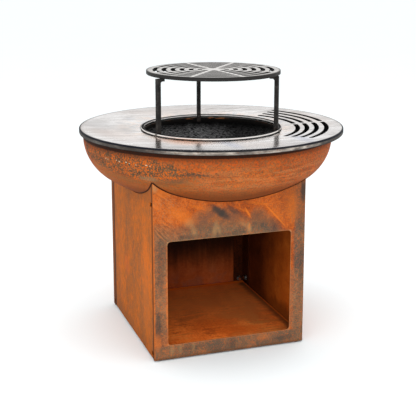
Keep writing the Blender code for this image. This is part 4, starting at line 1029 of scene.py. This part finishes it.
# ---- plancha
def plancha_finish():
    p = Paint("plancha_steel")
    r = p.math('SQRT', p.add(p.mul(p.x, p.x), p.mul(p.y, p.y)))
    cloud = p.noise(5.0, 4.0, 0.55)
    haze = p.noise(22.0, 5.0, 0.6, warp=0.6)
    fine = p.noise(140.0, 4.0, 0.65)
    grain = p.noise(900.0, 2.0, 0.5)
    brushed = p.noise(1.0, 5.0, 0.65, p.stretch(9, 60, 9, rot=(0, 0, math.radians(10))))
    tone = p.add(p.mul(cloud, 0.30), p.add(p.mul(haze, 0.25), p.mul(brushed, 0.45)))
    steel = p.ramp(tone, [(0.34, srgb(112, 106, 102)), (0.45, srgb(184, 179, 176)), (0.56, srgb(222, 220, 219)), (0.68, srgb(240, 239, 239))])
    # heat tints round the hole, straw outside, blue nearer the fire
    ringed = p.step(p.add(r, p.mul(p.sub(haze, 0.5), 0.10)), 0.33, 0.24)
    straw = p.mul(p.mul(ringed, p.step(haze, 0.46, 0.62)), 0.45)
    steel = p.mix(straw, steel, srgb(230, 192, 162))
    blue = p.mul(p.mul(ringed, p.step(haze, 0.44, 0.32)), 0.40)
    steel = p.mix(blue, steel, srgb(128, 138, 164))
    for cx, cy, rx, ry, tilt, amount, tint in ((-0.150, -0.195, 0.050, 0.075, 20, 0.90, (224, 158, 112)),
                                               (-0.300, -0.060, 0.045, 0.100, 12, 0.45, (188, 160, 144)),
                                               (-0.345, -0.020, 0.030, 0.110, 8, 0.40, (150, 126, 112)),
                                               (-0.255, 0.060, 0.022, 0.090, -6, 0.35, (160, 142, 130)),
                                               (-0.240, -0.170, 0.020, 0.060, 24, 0.35, (150, 128, 116)),
                                               (-0.330, 0.130, 0.040, 0.080, 0, 0.45, (150, 146, 146)),
                                               (-0.220, -0.290, 0.060, 0.030, -20, 0.45, (150, 142, 140)),
                                               (-0.060, 0.300, 0.120, 0.050, 0, 0.35, (196, 168, 150)),
                                               (0.020, 0.345, 0.220, 0.045, 0, 0.40, (150, 142, 138)),
                                               (0.040, -0.350, 0.190, 0.035, 0, 0.42, (128, 122, 122)),
                                               (0.020, -0.330, 0.060, 0.045, 0, 0.30, (214, 190, 176)),
                                               (0.330, 0.020, 0.040, 0.120, 0, 0.30, (206, 178, 160)),
                                               (-0.045, -0.290, 0.018, 0.070, 0, 0.50, (118, 132, 168)),
                                               (0.175, -0.270, 0.020, 0.070, 0, 0.50, (112, 124, 160))):
        spot = p.mul(blob(p, cx, cy, rx, ry, tilt, 1.5, axes="xy", noise=haze), amount)
        steel = p.mix(spot, steel, srgb(*tint))
    rimward = p.mul(p.mul(p.step(p.add(r, p.mul(p.sub(haze, 0.5), 0.008)), 0.384, 0.396), p.step(p.y, -0.20, 0.02)), 0.62)
    steel = p.mix(rimward, steel, srgb(120, 104, 94))
    # painted contact shadow of the rack ring: a near-black line on the plate just outside it, set further out at the
    # rear
    ring_shade_shift = p.mul(p.step(p.y, 0.04, 0.17), 0.0115)
    ringed = p.mul(p.step(p.sub(r, ring_shade_shift), RACK_RING_R + RACK_ROD_R + 0.0034, RACK_RING_R + RACK_ROD_R + 0.0012), 0.90)
    scuff = p.mul(p.step(brushed, 0.40, 0.30), 0.45)
    steel = p.mix(scuff, steel, srgb(112, 98, 90))
    oil = p.mul(p.step(p.add(fine, p.mul(haze, 0.5)), 0.84, 0.96), 0.40)
    steel = p.mix(oil, steel, srgb(104, 88, 78))
    steel = p.mix(ringed, steel, srgb(14, 12, 11))
    top = p.step(p.nz, 0.86, 0.96)
    # rim: mill scale with rusty places, its light streaks painted highlights
    around = p.noise(1.0, 4.0, 0.62, p.stretch(22, 22, 90))
    rim = p.ramp(around, [(0.32, srgb(84, 78, 73)), (0.46, srgb(126, 118, 111)), (0.56, srgb(162, 152, 142)), (0.66, srgb(208, 197, 186))])
    rusty = p.mul(p.step(p.add(p.mul(haze, 0.5), p.mul(fine, 0.5)), 0.54, 0.62), 0.60)
    rim = p.mix(rusty, rim, srgb(128, 84, 58))
    turn = p.math('ARCTAN2', p.y, p.x)
    wing = p.mul(p.step(p.math('ABSOLUTE', p.add(turn, math.pi / 2 + 0.10)), 0.30, 0.75), 0.86)
    rim = p.mix(wing, rim, srgb(50, 46, 43))
    outer = p.step(r, PLATE_R - 0.006, PLATE_R - 0.0035)
    # painted reflection: a blue-black line along the rounded top edge of the rim
    rim_edge_reflection = p.mul(outer, p.step(p.z, PLATE_TOP - 0.0058, PLATE_TOP - 0.0044))
    # painted shade: a near-black band along the rim's lower edge
    rim = p.mix(p.mul(p.step(p.z, PLATE_TOP - PLATE_T + 0.0030, PLATE_TOP - PLATE_T + 0.0016), 0.9), rim, srgb(24, 17, 13))
    # slot walls and the hole's wall: soot, the hole with rusty dashes
    wall = p.ramp(fine, [(0.3, srgb(8, 8, 8)), (0.7, srgb(26, 23, 21))])
    dash = p.mul(p.mul(p.step(around, 0.48, 0.54), p.step(r, PLATE_HOLE_R + 0.004, PLATE_HOLE_R + 0.001)),
                 p.step(p.z, PLATE_TOP - PLATE_DISH - 0.0060, PLATE_TOP - PLATE_DISH - 0.0045))
    rearmost = p.add(0.05, p.mul(p.step(p.math('ABSOLUTE', p.sub(turn, math.radians(76))), 0.40, 0.20), 0.55))
    wall = p.mix(p.mul(dash, rearmost), wall, srgb(176, 112, 66))
    side = p.mix(outer, wall, rim)
    under = p.step(p.nz, -0.5, -0.8)
    side = p.mix(under, side, srgb(34, 31, 29))
    colour = p.mix(top, side, steel)
    colour = p.mix(p.mul(rim_edge_reflection, 0.95), colour, srgb(14, 18, 27))
    bright = p.mul(p.mul(p.step(p.nz, 0.40, 0.65), p.step(p.nz, 0.985, 0.93)), p.inv(outer))
    colour = p.mix(p.mul(bright, 0.25), colour, srgb(225, 221, 217))
    polished = p.mul(top, p.inv(rim_edge_reflection))
    metal = p.add(0.15, p.mul(polished, 0.75))
    rough = p.add(p.sub(0.64, p.mul(polished, 0.44)), p.mul(p.sub(haze, 0.5), 0.25))
    normal = p.bump(p.add(p.mul(brushed, 0.5), p.add(p.mul(haze, 0.5), p.mul(grain, 0.3))), 0.10, 0.0006)
    return p.finish(colour, rough, metal, normal, Specular_IOR_Level=0.08)


# ---- grate
def grate_finish():
    p = Paint("grate_iron")
    gx = p.sub(p.x, GRATE_X)
    r = p.math('SQRT', p.add(p.mul(gx, gx), p.mul(p.y, p.y)))
    az = p.math('ARCTAN2', p.y, gx)
    haze = p.noise(40.0, 4.0, 0.6)
    fine = p.noise(420.0, 4.0, 0.7)
    tone = p.add(p.mul(haze, 0.5), p.mul(fine, 0.5))
    bare = p.ramp(tone, [(0.34, srgb(96, 92, 88)), (0.50, srgb(168, 165, 161)), (0.66, srgb(226, 223, 220))])
    # the spokes are polished by pans, the bars at the front and rear have kept some scale
    turn = p.mul(p.sub(az, math.radians(GRATE_SPOKE_AZ)), GRATE_SPOKES / 2)
    across = p.math('ABSOLUTE', p.mul(p.math('SINE', turn), p.mul(r, 2 / GRATE_SPOKES)))
    spoke = p.step(across, 0.0062, 0.0042)
    scale = p.mul(p.mul(p.step(p.math('ABSOLUTE', p.math('SINE', az)), 0.55, 0.80), p.inv(spoke)), 0.42)
    bare = p.mix(scale, bare, srgb(96, 93, 90))
    bare = p.mix(p.mul(spoke, 0.50), bare, srgb(236, 233, 230))
    iron = p.ramp(fine, [(0.3, srgb(12, 12, 12)), (0.7, srgb(40, 39, 38))])
    top = p.step(p.nz, 0.80, 0.97)
    colour = p.mix(top, iron, bare)
    edge = p.step(r, GRATE_R - 0.0075, GRATE_R - 0.0020)
    colour = p.mix(p.mul(edge, 0.78), colour, srgb(44, 42, 41))
    polished = p.mul(top, p.inv(p.mul(edge, 0.8)))
    rough = p.add(p.sub(0.62, p.mul(polished, 0.28)), p.mul(p.sub(haze, 0.5), 0.3))
    metal = p.add(0.10, p.mul(polished, 0.70))
    return p.finish(colour, rough, metal, p.bump(fine, 0.30, 0.0007), Specular_IOR_Level=0.15)


# ---- rack
def rack_finish(name, painted_sheen):
    p = Paint(name)
    haze = p.noise(60.0, 4.0, 0.6)
    fine = p.noise(500.0, 3.0, 0.65)
    tone = p.add(p.mul(haze, 0.6), p.mul(fine, 0.4))
    black = p.ramp(tone, [(0.34, srgb(20, 19, 19)), (0.50, srgb(40, 39, 38)), (0.68, srgb(72, 68, 64))])
    rusty = p.mul(p.step(tone, 0.58, 0.68), 0.35)
    colour = p.mix(rusty, black, srgb(92, 62, 44))
    metallic, rough = 0.0, p.add(0.50, p.mul(haze, 0.25))
    # painted light on the ring: a near-white glossy band round the rod's sides is a painted reflection, with near-black
    # painted shade on its top and underside
    if painted_sheen:
        band = p.math('ABSOLUTE', p.sub(p.nz, 0.13))
        colour = p.mix(p.step(band, 0.26, 0.34), colour, srgb(6, 5, 5))
        side = p.mul(p.step(band, 0.36, 0.29), p.add(1.0, p.mul(p.sub(haze, 0.5), 0.8)))
        side = p.clamp(side)
        colour = p.mix(side, colour, (0.98, 0.95, 0.92))
        metallic, rough = p.mul(side, 0.70), p.sub(rough, p.mul(side, 0.32))
    else:
        foot = p.mul(p.step(p.z, PLATE_TOP + 0.008, PLATE_TOP - 0.004), 0.15)
        colour = p.mix(foot, colour, srgb(74, 44, 28))
    return p.finish(colour, rough, metallic, p.bump(fine, 0.25, 0.0005), Specular_IOR_Level=0.05 if painted_sheen else 0.12)


def small_metal(name, dark, light, metallic, rough, shine=0.3, ends=(0.35, 0.65)):
    p = Paint(name)
    fine = p.noise(600.0, 3.0, 0.6)
    haze = p.noise(120.0, 3.0, 0.6)
    colour = p.ramp(p.add(p.mul(fine, 0.5), p.mul(haze, 0.5)), [(ends[0], dark), (ends[1], light)])
    return p.finish(colour, p.add(rough, p.mul(haze, 0.2)), metallic, p.bump(fine, 0.2, 0.0003), Specular_IOR_Level=shine)


mat_angle = small_metal("rust_angle", srgb(30, 13, 6), srgb(78, 34, 13), 0.0, 0.7, 0.05)
mat_zinc = small_metal("nut_zinc", srgb(20, 16, 14), srgb(216, 213, 208), 0.5, 0.35, ends=(0.50, 0.66))
mat_bolt = small_metal("bolt_steel", srgb(70, 68, 66), srgb(150, 147, 143), 0.8, 0.3)
mat_black = small_metal("glide_plastic", srgb(14, 14, 14), srgb(26, 26, 26), 0.0, 0.45)
mat_lug = small_metal("lug_steel", srgb(34, 31, 29), srgb(64, 58, 54), 0.4, 0.5)
mat_ring = rack_finish("rack_ring_steel", True)
mat_leg = rack_finish("rack_leg_steel", False)

paint(NODES["front_panel"], front_finish())
mat_side = side_finish("rust_side", "side")
paint(NODES["left_panel"], mat_side)
paint(NODES["right_panel"], mat_side)
paint(NODES["rear_panel"], side_finish("rust_rear", "rear"))
paint(shelf, floor_finish())
paint(bowl, bowl_finish())
paint(plancha, plancha_finish())
paint(grate, grate_finish())
paint(rack_ring, mat_ring)
for name in LEG_AZ:
    paint(NODES["rack_leg_" + name], mat_leg)
for bolt in bolts:
    paint(bolt, mat_bolt)
for glide in glides:
    paint(glide, mat_black)
for name, node in NODES.items():
    if name.startswith("nut_"):
        paint(node, mat_zinc)
    elif name.startswith("plancha_lug"):
        paint(node, mat_lug)
    elif name.startswith("corner_angle"):
        paint(node, mat_angle)

# the sheets, angles, nuts and legs keep their own meshes, with broken edges
for name, node in NODES.items():
    width = (0.0006 if name.endswith("_panel") else 0.0004 if name.startswith(("corner_angle", "plancha_lug")) else
             0.00025 if name.startswith(("nut_", "rack_leg")) else 0)
    if width:
        weld = node.modifiers.new("weld", 'WELD')
        weld.merge_threshold = 0.00001
        bevel = node.modifiers.new("edges", 'BEVEL')
        bevel.width, bevel.segments = width, 2
        bevel.limit_method, bevel.angle_limit = 'ANGLE', math.radians(40)
        bevel.harden_normals = False

# ---------------------------------------------------------------- floor
bm = bmesh.new()
bmesh.ops.create_grid(bm, x_segments=2, y_segments=2, size=30)
floor = new_object("floor", bm)
p = Paint("floor_paper")
paint(floor, p.finish(p.ramp(p.noise(2.0, 2.0), [(0.0, (0.885, 0.935, 0.950)), (1.0, (0.905, 0.955, 0.970))]), 0.9))
